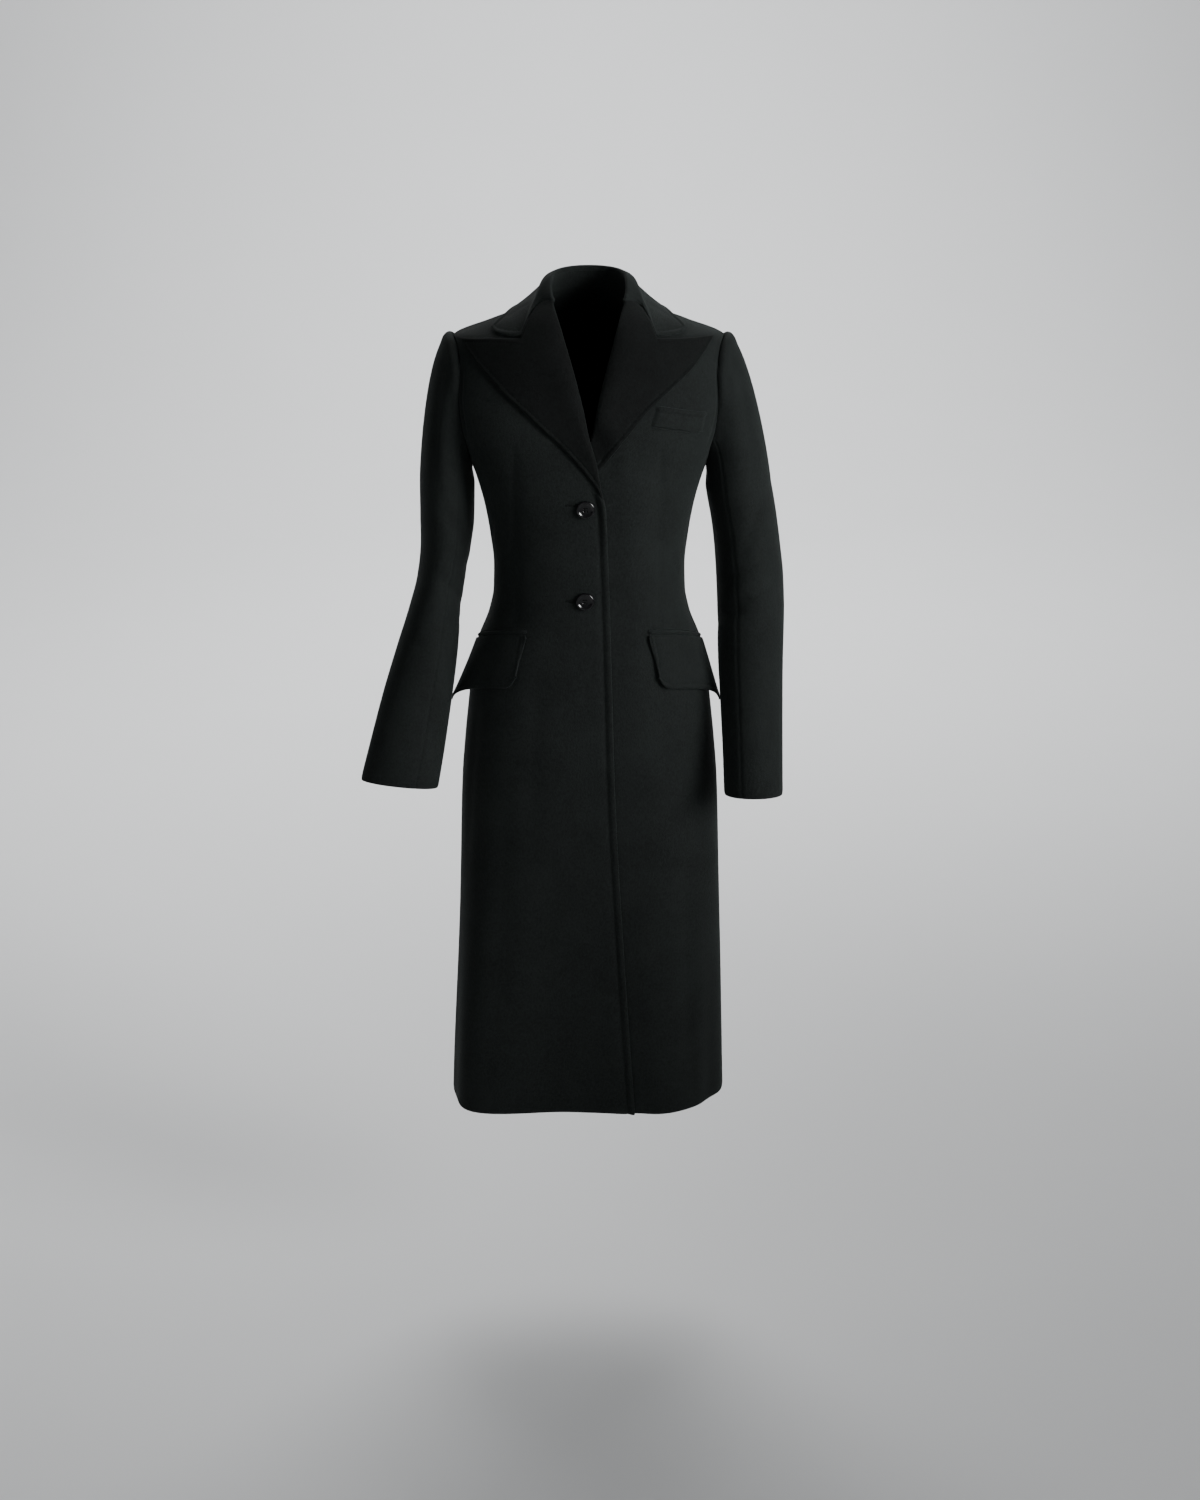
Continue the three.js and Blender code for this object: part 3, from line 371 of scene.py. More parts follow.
def body_normal(turn, z):
    across = bare_body(turn + 0.004, z) - bare_body(turn - 0.004, z)
    up = bare_body(turn, z + 2) - bare_body(turn, z - 2)
    return unit(np.cross(across, up))


def body(turn, z, lift=0.0):
    """Points on the coat's outer surface, moved out by lift."""
    turn, z = np.broadcast_arrays(np.asarray(turn, float), np.asarray(z, float))
    point = bare_body(turn, z)
    relief = body_relief(turn, z, point[..., 0])
    return point + body_normal(turn, z) * np.asarray(lift + relief)[..., None]


def front_turn(x, z):
    share = np.minimum(np.abs(x) / HALF(z), 1)
    return np.sign(x) * np.arcsin(share ** (SQUARE(z) / 2)) / math.pi


def front(x, z, lift=0.0):
    return body(front_turn(x, z), z, lift)


def outer_turn(z, facing):
    """Where a panel ends on its outer side: side seam, armhole or shoulder seam."""
    rise = np.minimum(np.abs(z - ARMHOLE["mid_z"]) / ARMHOLE["half_height"], 1)
    reach = ARMHOLE[facing] * (1 - rise ** ARMHOLE["roundness"]) ** (1 / ARMHOLE["roundness"])
    depth = FRONT(z) if facing == "front" else BACK(z)
    quarter = np.arccos((reach / depth) ** (SQUARE(z) / 2)) / math.pi
    return quarter if facing == "front" else 1 - quarter


# ---- Cloth shells ----

def slope(grid, axis):
    """Differences along a grid, carried on past its ends."""
    return np.gradient(grid, axis=axis, edge_order=2)


def grid_normals(grid, outwards):
    normals = unit(np.cross(slope(grid, 1), slope(grid, 0)))
    if np.sum(normals * outwards(grid)) < 0:
        normals = -normals
    return normals


def from_axis(grid):
    return grid * (1, 1, 0)


def up_from_axis(grid):
    return grid * (1, 1, 0) + (0, 0, 60)


def puffed(d):
    """A turned and pressed edge: a soft ridge, and the groove of its pick stitches."""
    groove = hump(d, STITCH_GROOVE["depth"], chosen("stitch_from_edge"), STITCH_GROOVE["width"])
    return hump(d, *TURNED_RIDGE) - groove - hump(d, *TURNED_RIM)


def seamed(d):
    """A pressed seam: the cloth dips into it, with a faint swell beside."""
    return hump(d, *SEAM_SWELL) - hump(d, *SEAM_DIP)


def hemmed(d):
    return -hump(d, *HEM_DIP)


def side_distances(grid):
    """For each place of a grid, how far it is from each of its four sides."""
    across = np.linalg.norm(np.diff(grid, axis=1), axis=2)
    upwards = np.linalg.norm(np.diff(grid, axis=0), axis=2)
    from_start = np.pad(np.cumsum(across, axis=1), ((0, 0), (1, 0)))
    from_bottom = np.pad(np.cumsum(upwards, axis=0), ((1, 0), (0, 0)))
    return {"start": from_start, "end": from_start[:, -1:] - from_start,
            "bottom": from_bottom, "top": from_bottom[-1:] - from_bottom}


def finish_edges(grid, *finishes, outwards=from_axis):
    """Gives a grid's sides their relief. Each finish is a profile, a side, and how much farther it is."""
    distances = side_distances(grid)
    nearest = {}
    for profile, side, *farther in finishes:
        away = distances[side] + sum(farther)
        nearest[profile] = np.minimum(nearest.get(profile, away), away)
    relief = sum(profile(distance) for profile, distance in nearest.items())
    return grid + grid_normals(grid, outwards) * relief[..., None]


def rim_loop(rows, columns):
    """The grid places round its border, in order, and for each the place just inside it."""
    loop = [(0, j) for j in range(columns)] + [(i, columns - 1) for i in range(1, rows)]
    loop += [(rows - 1, j) for j in range(columns - 2, -1, -1)] + [(i, 0) for i in range(rows - 2, 0, -1)]
    inside = [(min(max(i, 1), rows - 2), min(max(j, 1), columns - 2)) for i, j in loop]
    return np.array(loop), np.array(inside)


def put_in_scene(name, data):
    """An object of the scene that shows a mesh, lamp or camera."""
    item = bpy.data.objects.new(name, data)
    bpy.context.scene.collection.objects.link(item)
    return item


def make_mesh(name, points, faces, uvs=None):
    mesh = bpy.data.meshes.new(name)
    mesh.from_pydata((np.asarray(points) * MM).tolist(), [], faces)
    mesh.polygons.foreach_set("use_smooth", [True] * len(mesh.polygons))
    if uvs is not None:
        layer = mesh.uv_layers.new(name="Cloth")
        corners = np.empty(len(mesh.loops), int)
        mesh.loops.foreach_get("vertex_index", corners)
        layer.data.foreach_set("uv", (np.asarray(uvs)[corners] * MM).ravel())
    mesh.update()
    return put_in_scene(name, mesh)


RIM_ANGLES = np.radians((40, 90, 140))


def grid_faces(index):
    """The faces between the places of a grid."""
    corners = [index[:-1, :-1], index[:-1, 1:], index[1:, 1:], index[1:, :-1]]
    return np.stack(corners, axis=-1).reshape(-1, 4)


def shell(name, grid, thickness, outwards):
    """A closed cloth wall under a grid of outer points, with a rounded rim all round."""
    rows, columns = grid.shape[:2]
    normals = grid_normals(grid, outwards)
    depth = np.broadcast_to(np.reshape(thickness, (-1, 1, 1)), (rows, columns, 1))
    inner = grid - normals * depth
    loop, inside = rim_loop(rows, columns)
    at = (loop[:, 0], loop[:, 1])
    away = unit(grid[at] - grid[inside[:, 0], inside[:, 1]])
    radius = depth[at] / 2
    middle = (grid[at] + inner[at]) / 2
    rings = [middle + normals[at] * radius * math.cos(a) + away * radius * math.sin(a) for a in RIM_ANGLES]
    run = np.stack([side_distances(grid)["start"], grid[..., 2]], axis=-1)
    points = np.concatenate([grid.reshape(-1, 3), inner.reshape(-1, 3), *rings])
    uvs = np.concatenate([run.reshape(-1, 2), run.reshape(-1, 2), *[run[at]] * len(rings)])
    index = np.arange(rows * columns).reshape(rows, columns)
    under = index + rows * columns
    quads = [grid_faces(index), grid_faces(under)[:, [0, 3, 2, 1]]]
    rim = 2 * rows * columns + np.arange(len(rings) * len(loop)).reshape(len(rings), len(loop))
    bands = [index[at], *rim, under[at]]
    for upper, lower in zip(bands[:-1], bands[1:]):
        quads.append(np.stack([np.roll(upper, -1), upper, lower, np.roll(lower, -1)], axis=-1))
    faces = np.concatenate(quads)
    if np.sum(np.cross(slope(grid, 1), slope(grid, 0)) * normals) < 0:
        faces = faces[:, ::-1]
    return make_mesh(name, points, faces.tolist(), uvs)


# Each cut of cloth as it shows: its piece's name, its width, length and flat area in metres and square
# metres, and the piece that it lies on.
CUTS = {
    "front_right": ("Right_front", 0.33, 1.265, 0.277),
    "front_left": ("Left_front", 0.25, 1.265, 0.256),
    "back_right": ("Right_back", 0.257, 1.27, 0.253),
    "back_left": ("Left_back", 0.257, 1.27, 0.253),
    "top_sleeve_right": ("Right_top_sleeve", 0.332, 0.62, 0.109),
    "top_sleeve_left": ("Left_top_sleeve", 0.331, 0.633, 0.116),
    "under_sleeve_right": ("Right_under_sleeve", 0.147, 0.496, 0.05),
    "under_sleeve_left": ("Left_under_sleeve", 0.147, 0.502, 0.052),
    "lapel_right": ("Right_lapel", 0.172, 0.287, 0.0185, "Right_front"),
    "lapel_left": ("Left_lapel", 0.169, 0.25, 0.0165, "Left_front"),
    "upper_collar": ("Upper_collar", 0.4, 0.134, 0.026, "Collar_stand"),
    "collar_stand": ("Collar_stand", 0.223, 0.025, 0.0053),
    "breast_welt": ("Breast_pocket_welt", 0.082, 0.031, 0.0025, "Left_front"),
    "pocket_jet_right": ("Right_pocket_jet", 0.12, 0.018, 0.0021, "Right_front"),
    "pocket_jet_left": ("Left_pocket_jet", 0.12, 0.018, 0.0021, "Left_front"),
    "pocket_flap_right": ("Right_pocket_flap", 0.142, 0.091, 0.0091, "Right_front"),
    "pocket_flap_left": ("Left_pocket_flap", 0.142, 0.089, 0.0092, "Left_front"),
}


def attach(piece, finish):
    """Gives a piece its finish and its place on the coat."""
    piece.data.materials.append(bpy.data.materials[finish])
    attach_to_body(piece, "root")


def make_cloth(node, grid, thickness=None, outwards=from_axis, finish=WOOL):
    """A piece of cloth in place of its solid, which is hidden."""
    name, width, length, area, *lies_on = CUTS[node]
    piece = shell(name, grid, chosen("thickness") if thickness is None else thickness, outwards)
    attach(piece, finish)
    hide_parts(node)


def sides_first(grid, side):
    """A view of a grid whose rows run along one side, each starting on that side."""
    return {"start": grid, "end": grid[:, ::-1], "bottom": grid.transpose(1, 0, 2),
            "top": grid[::-1].transpose(1, 0, 2)}[side]


def revolved(profile, sides):
    """Points and faces of a closed turned shape about Z, from its profile of radius and height."""
    rings = [np.array(p, float) for p in profile[1:-1]]
    angle = np.linspace(0, 2 * math.pi, sides, endpoint=False)
    points = [[0, 0, profile[0][1]]]
    for radius, height in rings:
        points.extend(np.column_stack([radius * np.cos(angle), radius * np.sin(angle), 0 * angle + height]))
    points.append([0, 0, profile[-1][1]])
    faces = []
    for k in range(sides):
        n = (k + 1) % sides
        faces.append((0, 1 + n, 1 + k))
        for r in range(len(rings) - 1):
            a, b = 1 + r * sides, 1 + (r + 1) * sides
            faces.append((a + k, a + n, b + n, b + k))
        last = 1 + (len(rings) - 1) * sides
        faces.append((last + k, last + n, len(points) - 1))
    return np.array(points), faces


# A stitch is a ball drawn out along its line: half its length, width and height.
STITCH_SIZE = (0.85, 0.36, 0.3)
BALL, STITCH_FACES = revolved([(math.sin(a), -math.cos(a)) for a in np.linspace(0, math.pi, 6)], 6)
STITCH = BALL[:, [2, 0, 1]] * STITCH_SIZE


def sew_picks(name, grid, *seams, outwards=from_axis):
    """Small hand stitches inside sewn edges. Each seam is a side, and its first and last place there."""
    normals = grid_normals(grid, outwards)
    stitches = []
    for side, first, last in seams:
        places, facings = (sides_first(each, side)[first:last] for each in (grid, normals))
        line = np.stack([resampled(row, [chosen("stitch_from_edge")])[0] for row in places])
        column = np.argmin(np.linalg.norm(places - line[:, None], axis=2), axis=1)
        facing = facings[np.arange(len(facings)), column]
        run = lengths_along(line)
        at = np.arange(chosen("stitch_step") / 2, run[-1], chosen("stitch_step"))
        middle = resampled(line, at)
        ahead = unit(resampled(line, at + 0.5) - resampled(line, at - 0.5))
        up = unit(resampled(facing, np.interp(at, run, lengths_along(facing))))
        stitches.append(np.stack([middle, ahead, up], axis=1))
    points, faces = [], []
    for middle, ahead, up in np.concatenate(stitches):
        faces += [tuple(len(points) * len(STITCH) + k for k in face) for face in STITCH_FACES]
        beside = np.cross(up, ahead)
        points.append(middle + STITCH[:, :1] * ahead + STITCH[:, 1:2] * beside + STITCH[:, 2:] * up)
    attach(make_mesh(name, np.concatenate(points), faces), THREAD)


def thread_tube(points, radii, sides, closed):
    """Points and faces of a thread of changing thickness along a line."""
    if closed:
        along = unit(np.roll(points, -1, axis=0) - np.roll(points, 1, axis=0))
    else:
        along = unit(np.gradient(points, axis=0))
    across = unit(np.cross(along, (0.0, 0.0, 1.0)) + 1e-6)
    up = np.cross(across, along)
    angle = np.linspace(0, 2 * math.pi, sides, endpoint=False)[:, None]
    circles = across[:, None] * np.cos(angle) + up[:, None] * np.sin(angle)
    rings = points[:, None] + radii[:, None, None] * circles
    index = np.arange(len(points) * sides).reshape(-1, sides)
    before, after = (index, np.roll(index, -1, axis=0)) if closed else (index[:-1], index[1:])
    corners = [before, np.roll(before, -1, axis=1), np.roll(after, -1, axis=1), after]
    faces = np.stack(corners, axis=-1).reshape(-1, 4).tolist()
    if not closed:
        faces += [index[0][::-1].tolist(), index[-1].tolist()]
    return rings.reshape(-1, 3), faces


CURL_STEPS = 9


def curled(grid, radius, degrees, tail, outwards=from_axis):
    """Adds columns before the first one, where the cloth rolls over a fold and runs on inside it."""
    normals = grid_normals(grid, outwards)[:, 0]
    away = unit(grid[:, 0] - grid[:, 1])
    radius = np.asarray(radius)[:, None]
    centre = grid[:, 0] - normals * radius
    angles = np.radians(np.linspace(0, degrees, CURL_STEPS + 1)[1:])
    columns = [centre + radius * (normals * math.cos(a) + away * math.sin(a)) for a in angles]
    heading = -normals * math.sin(angles[-1]) + away * math.cos(angles[-1])
    columns += [columns[-1] + heading * tail * k / 3 for k in (1, 2, 3)]
    return np.concatenate([np.stack(columns[::-1], axis=1), grid], axis=1)


# ---- Fronts and back ----

# A distance at which the relief of an edge has faded out.
FAR = 99.0
RIGHT_EDGE_X, LEFT_EDGE_X = through(RIGHT_EDGE, "x"), through(LEFT_EDGE, "x")
SKIRT_TOP_Z = -500
LAPEL_FOOT_Z = -208.5
LEFT_ROLL_FOOT_Z = -166
# A lapel's fold: its radius, how far it lies beside the front's edge, its end inside, and its turn.
ROLL = {"radius": 2.9, "aside": 3.0, "foot_aside": 0.3, "tail": 1.0, "gap": 0.3, "degrees": 172, "top_z": 26}


def roll_share(z):
    """0 at the right lapel's foot, growing to 1 where its fold is fully rounded."""
    return smooth_step(LAPEL_FOOT_Z, LAPEL_FOOT_Z + 34, z)


def roll_inset(z, foot):
    """How far a front ends inside its roll line, where the lapel's fold takes over."""
    return (ROLL["aside"] + ROLL["tail"] + ROLL["gap"]) * smooth_step(foot - 3, foot + 18, z)


def panel_heights():
    low = HEM_Z + graded(SKIRT_TOP_Z - HEM_Z, 84, last=False)
    waist = np.linspace(SKIRT_TOP_Z, ARMHOLE["mid_z"] - ARMHOLE["half_height"], 64)[1:-1]
    angles = np.linspace(math.pi, 0, 48)
    armhole = ARMHOLE["mid_z"] + ARMHOLE["half_height"] * power_of(np.cos(angles), 2 / ARMHOLE["roundness"])
    shoulder = np.linspace(armhole[-1], NECK_SEAM_Z, 27)[1:]
    return np.concatenate([low, waist, armhole, shoulder])


PANEL_HEIGHTS = panel_heights()
# Where the left front and the left lapel sink under the right front: how far inside its edge they start
# and have sunk, and the heights between which that begins.
FRONT_LAP = {"starts": 36, "sunk": 4, "top_z": -96, "full_z": -122}
LAPEL_LAP = {"starts": 34, "sunk": 2, "top_z": -98, "full_z": -134, "depth": -3.0}


def under_lap(lap, x, z):
    """0 in the open, growing to 1 where the right front covers the cloth."""
    edge = RIGHT_EDGE_X(z)
    covered = smooth_step(edge + lap["starts"], edge + lap["sunk"], x)
    return covered * smooth_step(lap["top_z"], lap["full_z"], z)


def lap_sink(x, z):
    """How far the left front sinks under the right one."""
    return -(chosen("thickness") + LAP_CLEARANCE) * under_lap(FRONT_LAP, x, z)


def panel(first_turn, last_turn, middle, sink=None):
    """A grid over the body between two lines, given as turns for each height."""
    rows = []
    for z in PANEL_HEIGHTS:
        turn = np.linspace(first_turn(z), last_turn(z), 150)
        lift = sink(bare_body(turn, z)[..., 0], z) if sink else 0.0
        row = body(turn, z, lift)
        rows.append(resampled(row, SEAM_INSET + graded(lengths_along(row)[-1] - 2 * SEAM_INSET, middle)))
    return np.stack(rows)


def edge_roll(grid):
    """The right front's edge stands up in a soft roll, highest below the lapel's foot, beside a groove."""
    z = grid[:, :1, 2]
    below = 1 - smooth_step(LAPEL_FOOT_Z - 1, LAPEL_FOOT_Z + 16, z)
    height = (EDGE_ROLL["height"] + EDGE_ROLL["foot_height"] * smooth_step(-290, -214, z)) * below
    d = side_distances(grid)["start"]
    roll = hump(d, height, EDGE_ROLL["from_edge"], EDGE_ROLL["width"])
    groove = hump(d, EDGE_ROLL["groove"] * below, EDGE_ROLL["groove_from_edge"], EDGE_ROLL["groove_width"])
    return grid + grid_normals(grid, from_axis) * (roll - groove)[..., None]


def build_fronts():
    right = panel(lambda z: front_turn(RIGHT_EDGE_X(z) - roll_inset(z, LAPEL_FOOT_Z), z),
                  lambda z: -outer_turn(z, "front"), 34)
    right = edge_roll(finish_edges(right, (seamed, "end"), (hemmed, "bottom")))
    lapel_foot = int(np.searchsorted(PANEL_HEIGHTS, LAPEL_FOOT_Z))
    sew_picks("Front_edge_stitches", right, ("start", 4, lapel_foot))
    make_cloth("front_right", right)
    left = panel(lambda z: front_turn(LEFT_EDGE_X(z) + roll_inset(z, LEFT_ROLL_FOOT_Z), z),
                 lambda z: outer_turn(z, "front"), 38, lap_sink)
    make_cloth("front_left", finish_edges(left, (seamed, "end"), (hemmed, "bottom")))


def build_back():
    for side, sign in SIGN.items():
        grid = panel(lambda z: sign * outer_turn(z, "back"), lambda z: sign * 1.0, 36)
        make_cloth(f"back_{side}", finish_edges(grid, (seamed, "start"), (seamed, "end"), (hemmed, "bottom")))


# ---- Sleeves ----

def armhole_seam(sign, angle):
    """Points of the armhole seam: angle 0 is the shoulder point and a quarter turn is the front."""
    z = ARMHOLE["mid_z"] + ARMHOLE["half_height"] * power_of(np.cos(angle), 2 / ARMHOLE["roundness"])
    turn = np.where(np.sin(angle) >= 0, outer_turn(z, "front"), outer_turn(z, "back"))
    return bare_body(sign * turn, z)


def sleeve_ring(rows, sign, share, angle):
    """A ring of the sleeve square to the arm, and the arm's direction there."""
    upwards = falling(rows)
    centre_x, centre_y = through(upwards, "x"), through(upwards, "y")
    z = mix(rows["z"][0], rows["z"][-1], share)

    def centre(height):
        return np.array([centre_x(height), centre_y(height), height], float)

    along = unit(centre(z - 8) - centre(z + 8))
    outwards = np.array([sign, 0.0, 0.0])
    outwards = unit(outwards - along * outwards.dot(along))
    forwards = unit(np.cross(along, outwards)) * sign
    wide, deep = through(upwards, "wide")(z), through(upwards, "deep")(z)
    ring = centre(z) + outwards * wide * np.cos(angle)[:, None] + forwards * deep * np.sin(angle)[:, None]
    return ring, along


def sleeve_head(side, sign, ring, along, angle, t):
    """The head swells out of the armhole and settles into the arm."""
    head = SLEEVE_HEAD[side]
    upper = ((1 + np.cos(angle)) / 2)[:, None]
    seam = armhole_seam(sign, angle) + (sign * HEAD_CLEARANCE, 0, 0)
    sideways = mix(UNDERARM_REACH * 0.4, head["fullness"], upper)
    leave = sideways * (sign, 0, 0) + mix(-UNDERARM_REACH, head["lift"], upper) * (0, 0, 1)
    arrive = along * mix(UNDERARM_REACH, head["settle"], upper)
    t2, t3 = t * t, t ** 3
    return (seam * (2 * t3 - 3 * t2 + 1) + leave * (t3 - 2 * t2 + t)
            + ring * (3 * t2 - 2 * t3) + arrive * (t3 - t2))


def sleeve_relief(side, angle, along):
    """The sleeve's creases at the elbow and head, and the light gathers of its roped top."""
    relief = 0 * angle
    for share, degrees, *shape in zip(*SLEEVE_CREASES[side].values()):
        turn = (angle - math.radians(degrees) + math.pi) % (2 * math.pi) - math.pi
        relief = relief + crease(turn * SLEEVE_ROUND, along - share * SLEEVE_LENGTH, *shape)
    from_seam = along + HEAD_LENGTH
    top = smooth_step(-0.1, 0.7, np.cos(angle))
    waves = np.sin(angle * 19 + 1.3 * np.sin(angle * 5)) * (0.6 + 0.4 * np.sin(angle * 7 + 1))
    gathers = hump(from_seam, GATHER["height"] * waves, GATHER["from_seam"], GATHER["width"])
    return relief + top * (gathers + hump(from_seam, *ROPE))


# Shares of the head's length at which it is divided finely beside its seam.
HEAD_SEAM_STEPS = [0, 0.008, 0.018, 0.032, 0.05, 0.072]


def sleeve_panel(side, from_degrees, to_degrees, middle):
    sign, arm = SIGN[side], SLEEVES[side]
    angle = np.radians(np.linspace(from_degrees, to_degrees, 160))
    first, along = sleeve_ring(arm, sign, 0, angle)
    lines = []
    for t in np.concatenate([HEAD_SEAM_STEPS, np.linspace(0.1, 1, 30)]):
        relief = sleeve_relief(side, angle, (t - 1) * HEAD_LENGTH)
        lines.append((sleeve_head(side, sign, first, along, angle, t), relief))
    for share in graded_shares(SLEEVE_LENGTH, 76, first=False)[1:]:
        relief = sleeve_relief(side, angle, share * SLEEVE_LENGTH)
        lines.append((sleeve_ring(arm, sign, share, angle)[0], relief))
    rows = []
    for points, relief in lines:
        run = lengths_along(points)
        at = SLEEVE_INSET + graded(run[-1] - 2 * SLEEVE_INSET, middle)
        rows.append(np.column_stack([resampled(points, at), np.interp(at, run, relief)]))
    grid = np.stack(rows)
    core = through(falling(arm), "x")

    def outwards(points):
        centre = np.stack([core(points[..., 2]), 0 * points[..., 2], points[..., 2]], axis=-1)
        return points - centre

    relief, grid = grid[..., 3:], grid[..., :3]
    grid = grid + grid_normals(grid, outwards) * relief
    sides = [(seamed, "start"), (seamed, "end"), (seamed, "bottom"), (hemmed, "top")]
    return finish_edges(grid, *sides, outwards=outwards), outwards


def build_sleeves():
    edge = 180 - UNDER_SLEEVE_SPAN
    for side in SIGN:
        for half, first, last, middle in (("top", -edge, edge, 44), ("under", edge, 360 - edge, 16)):
            grid, outwards = sleeve_panel(side, first, last, middle)
            make_cloth(f"{half}_sleeve_{side}", grid, outwards=outwards)


# ---- Lapels and collar ----

def xz_line(rows, sign=1):
    return np.column_stack([sign * rows["x"], rows["z"]])


def patch(bottom, top, start, end, s, t):
    """Places between four edges. start and end are followed at the shares s, bottom and top at t."""
    low, high = at_shares(bottom, t), top if len(top) == len(t) else at_shares(top, t)
    near, far = at_shares(start, s), at_shares(end, s)
    s, t = s[:, None, None], t[None, :, None]
    corners = mix(mix(low[0], low[-1], t), mix(high[0], high[-1], t), s)
    return mix(near[:, None], far[:, None], t) + mix(low[None], high[None], s) - corners


# A lapel's fullness: its height, the share of the width where it peaks, how much lower it is at the top,
# and the width under which a lapel is less full.
LAPEL_FULL = {"height": 4.6, "peak": 0.2, "falls": 0.35, "narrow": 70}


def lapel_lift(s, t, width=FAR):
    """How far a lapel stands off the front: its fold is full, and it settles out to its edge."""
    peak = LAPEL_FULL["peak"]
    full = t / peak * np.exp(1 - t / peak) * (1 - t * t) * np.minimum(1, width / LAPEL_FULL["narrow"])
    swell = LAPEL_FULL["height"] * full * (1 - LAPEL_FULL["falls"] * s)
    return chosen("folded_thickness") + OVERLAY + swell + s * t


def along_roll(edge, heights, aside):
    return np.column_stack([edge(heights) + aside, heights])


# Columns of a lapel's grid from its roll line to the notch.
LAPEL_HALF = 30
# A lapel's foot: the row of its first stitch, and the radius and thickness of its fold.
LAPEL_FOOT = {
    "right": {"first_stitch": 14, "radius": 1.5, "thickness": 1.4},
    "left": {"first_stitch": 16, "radius": 1.3, "thickness": 1.2},
}
# The heights between which the left lapel's fold grows to its full size.
LEFT_LAPEL_GROWS = (-150, -128)
# The right lapel's foot, from the surface of the rolled edge: where it starts and ends, and over which
# heights it comes out and settles.
FOOT_RISE = {"start": -1.3, "end": 0.2, "emerges": 10, "settles": 24}


def lapel_grid(roll, outer, sign, settle):
    """A lapel's grid up from its foot, from the roll line out to its edge, with a corner at the notch."""
    notch, hidden = ([sign * x, z] for x, z in (NOTCH, UNDER_COLLAR))
    shares = graded_shares(100, 2 * LAPEL_HALF - 13, first=False)
    t = np.concatenate([np.linspace(0, 0.5, LAPEL_HALF), 0.5 + shares[shares > 0.5] - 0.5])
    gorge = np.vstack([xz_line(GORGE, sign)[:-1] - (0, 1), notch])
    peak = np.vstack([notch, hidden, outer[-1]])
    top = np.vstack([at_shares(gorge, t[t <= 0.5] * 2), at_shares(peak, t[t > 0.5] * 2 - 1)])
    s = graded_shares(lengths_along(outer)[-1], 74)
    roll = np.vstack([roll, top[0]])
    places = patch(np.vstack([roll[0], outer[0]]), top, roll, outer, s, t)
    x, z = places[..., 0], places[..., 1]
    width = np.abs(x[:, -1:] - x[:, :1])
    grid = front(x, z, settle(x, z, lapel_lift(s[:, None], t[None, :], width)))
    past_notch = np.where(t > 0.5, 0, FAR)
    return finish_edges(grid, (puffed, "end"), (puffed, "top", past_notch), (seamed, "top", FAR - past_notch))


def onto_edge_roll(x, z, lift):
    """The right lapel's foot grows out of the front's rolled edge, from just below its surface."""
    from_edge = RIGHT_EDGE_X(z) - x
    height = EDGE_ROLL["height"] + EDGE_ROLL["foot_height"]
    foot = hump(from_edge, height, EDGE_ROLL["from_edge"], EDGE_ROLL["width"])
    emerged = smooth_step(LAPEL_FOOT_Z, LAPEL_FOOT_Z + FOOT_RISE["emerges"], z)
    foot = foot + mix(FOOT_RISE["start"], FOOT_RISE["end"], emerged)
    return mix(foot, lift, smooth_step(LAPEL_FOOT_Z, LAPEL_FOOT_Z + FOOT_RISE["settles"], z))


def under_right_front(x, z, lift):
    """The left lapel's foot sinks under the right front."""
    return mix(lift, LAPEL_LAP["depth"], under_lap(LAPEL_LAP, x, z))


def finish_lapel(side, grid, fullness):
    """Sews a lapel's edges and rolls its fold, which is small at the foot and full above it."""
    foot = LAPEL_FOOT[side]
    seams = [("end", foot["first_stitch"], None), ("top", LAPEL_HALF + 1, -4)]
    sew_picks(f"{side.title()}_lapel_stitches", grid, *seams)
    share = fullness(grid[:, 0, 2])
    grid = curled(grid, mix(foot["radius"], ROLL["radius"], share), ROLL["degrees"], ROLL["tail"])
    thickness = mix(foot["thickness"], chosen("folded_thickness"), share)
    make_cloth(f"lapel_{side}", grid, thickness, finish=SHADED_FACING)


def build_lapels():
    heights = np.linspace(LAPEL_FOOT_Z, ROLL["top_z"], 60)
    inwards = ROLL["foot_aside"] + (ROLL["aside"] - ROLL["foot_aside"]) * roll_share(heights)
    outer = rounded_line(xz_line(RIGHT_LAPEL_EDGE), 200)
    right = lapel_grid(along_roll(RIGHT_EDGE_X, heights, -inwards), outer, -1, onto_edge_roll)
    finish_lapel("right", right, roll_share)
    heights = np.linspace(LEFT_ROLL_FOOT_Z, ROLL["top_z"], 60)
    outer = rounded_line(xz_line(LEFT_LAPEL_EDGE), 200)
    left = lapel_grid(along_roll(LEFT_EDGE_X, heights, ROLL["aside"]), outer, 1, under_right_front)
    finish_lapel("left", left, lambda z: smooth_step(*LEFT_LAPEL_GROWS, z))


def shoulder_height(x, y):
    """The height at which the body's level section passes through a place, found by halving."""
    low, high = np.full(x.shape, -60.0), np.full(x.shape, 40.0)
    for _ in range(40):
        z = (low + high) / 2
        reach = np.where(y < 0, FRONT(z), BACK(z))
        outside = (np.abs(x) / HALF(z)) ** SQUARE(z) + (np.abs(y) / reach) ** SQUARE(z) > 1
        low, high = np.where(outside, low, z), np.where(outside, z, high)
    return (low + high) / 2


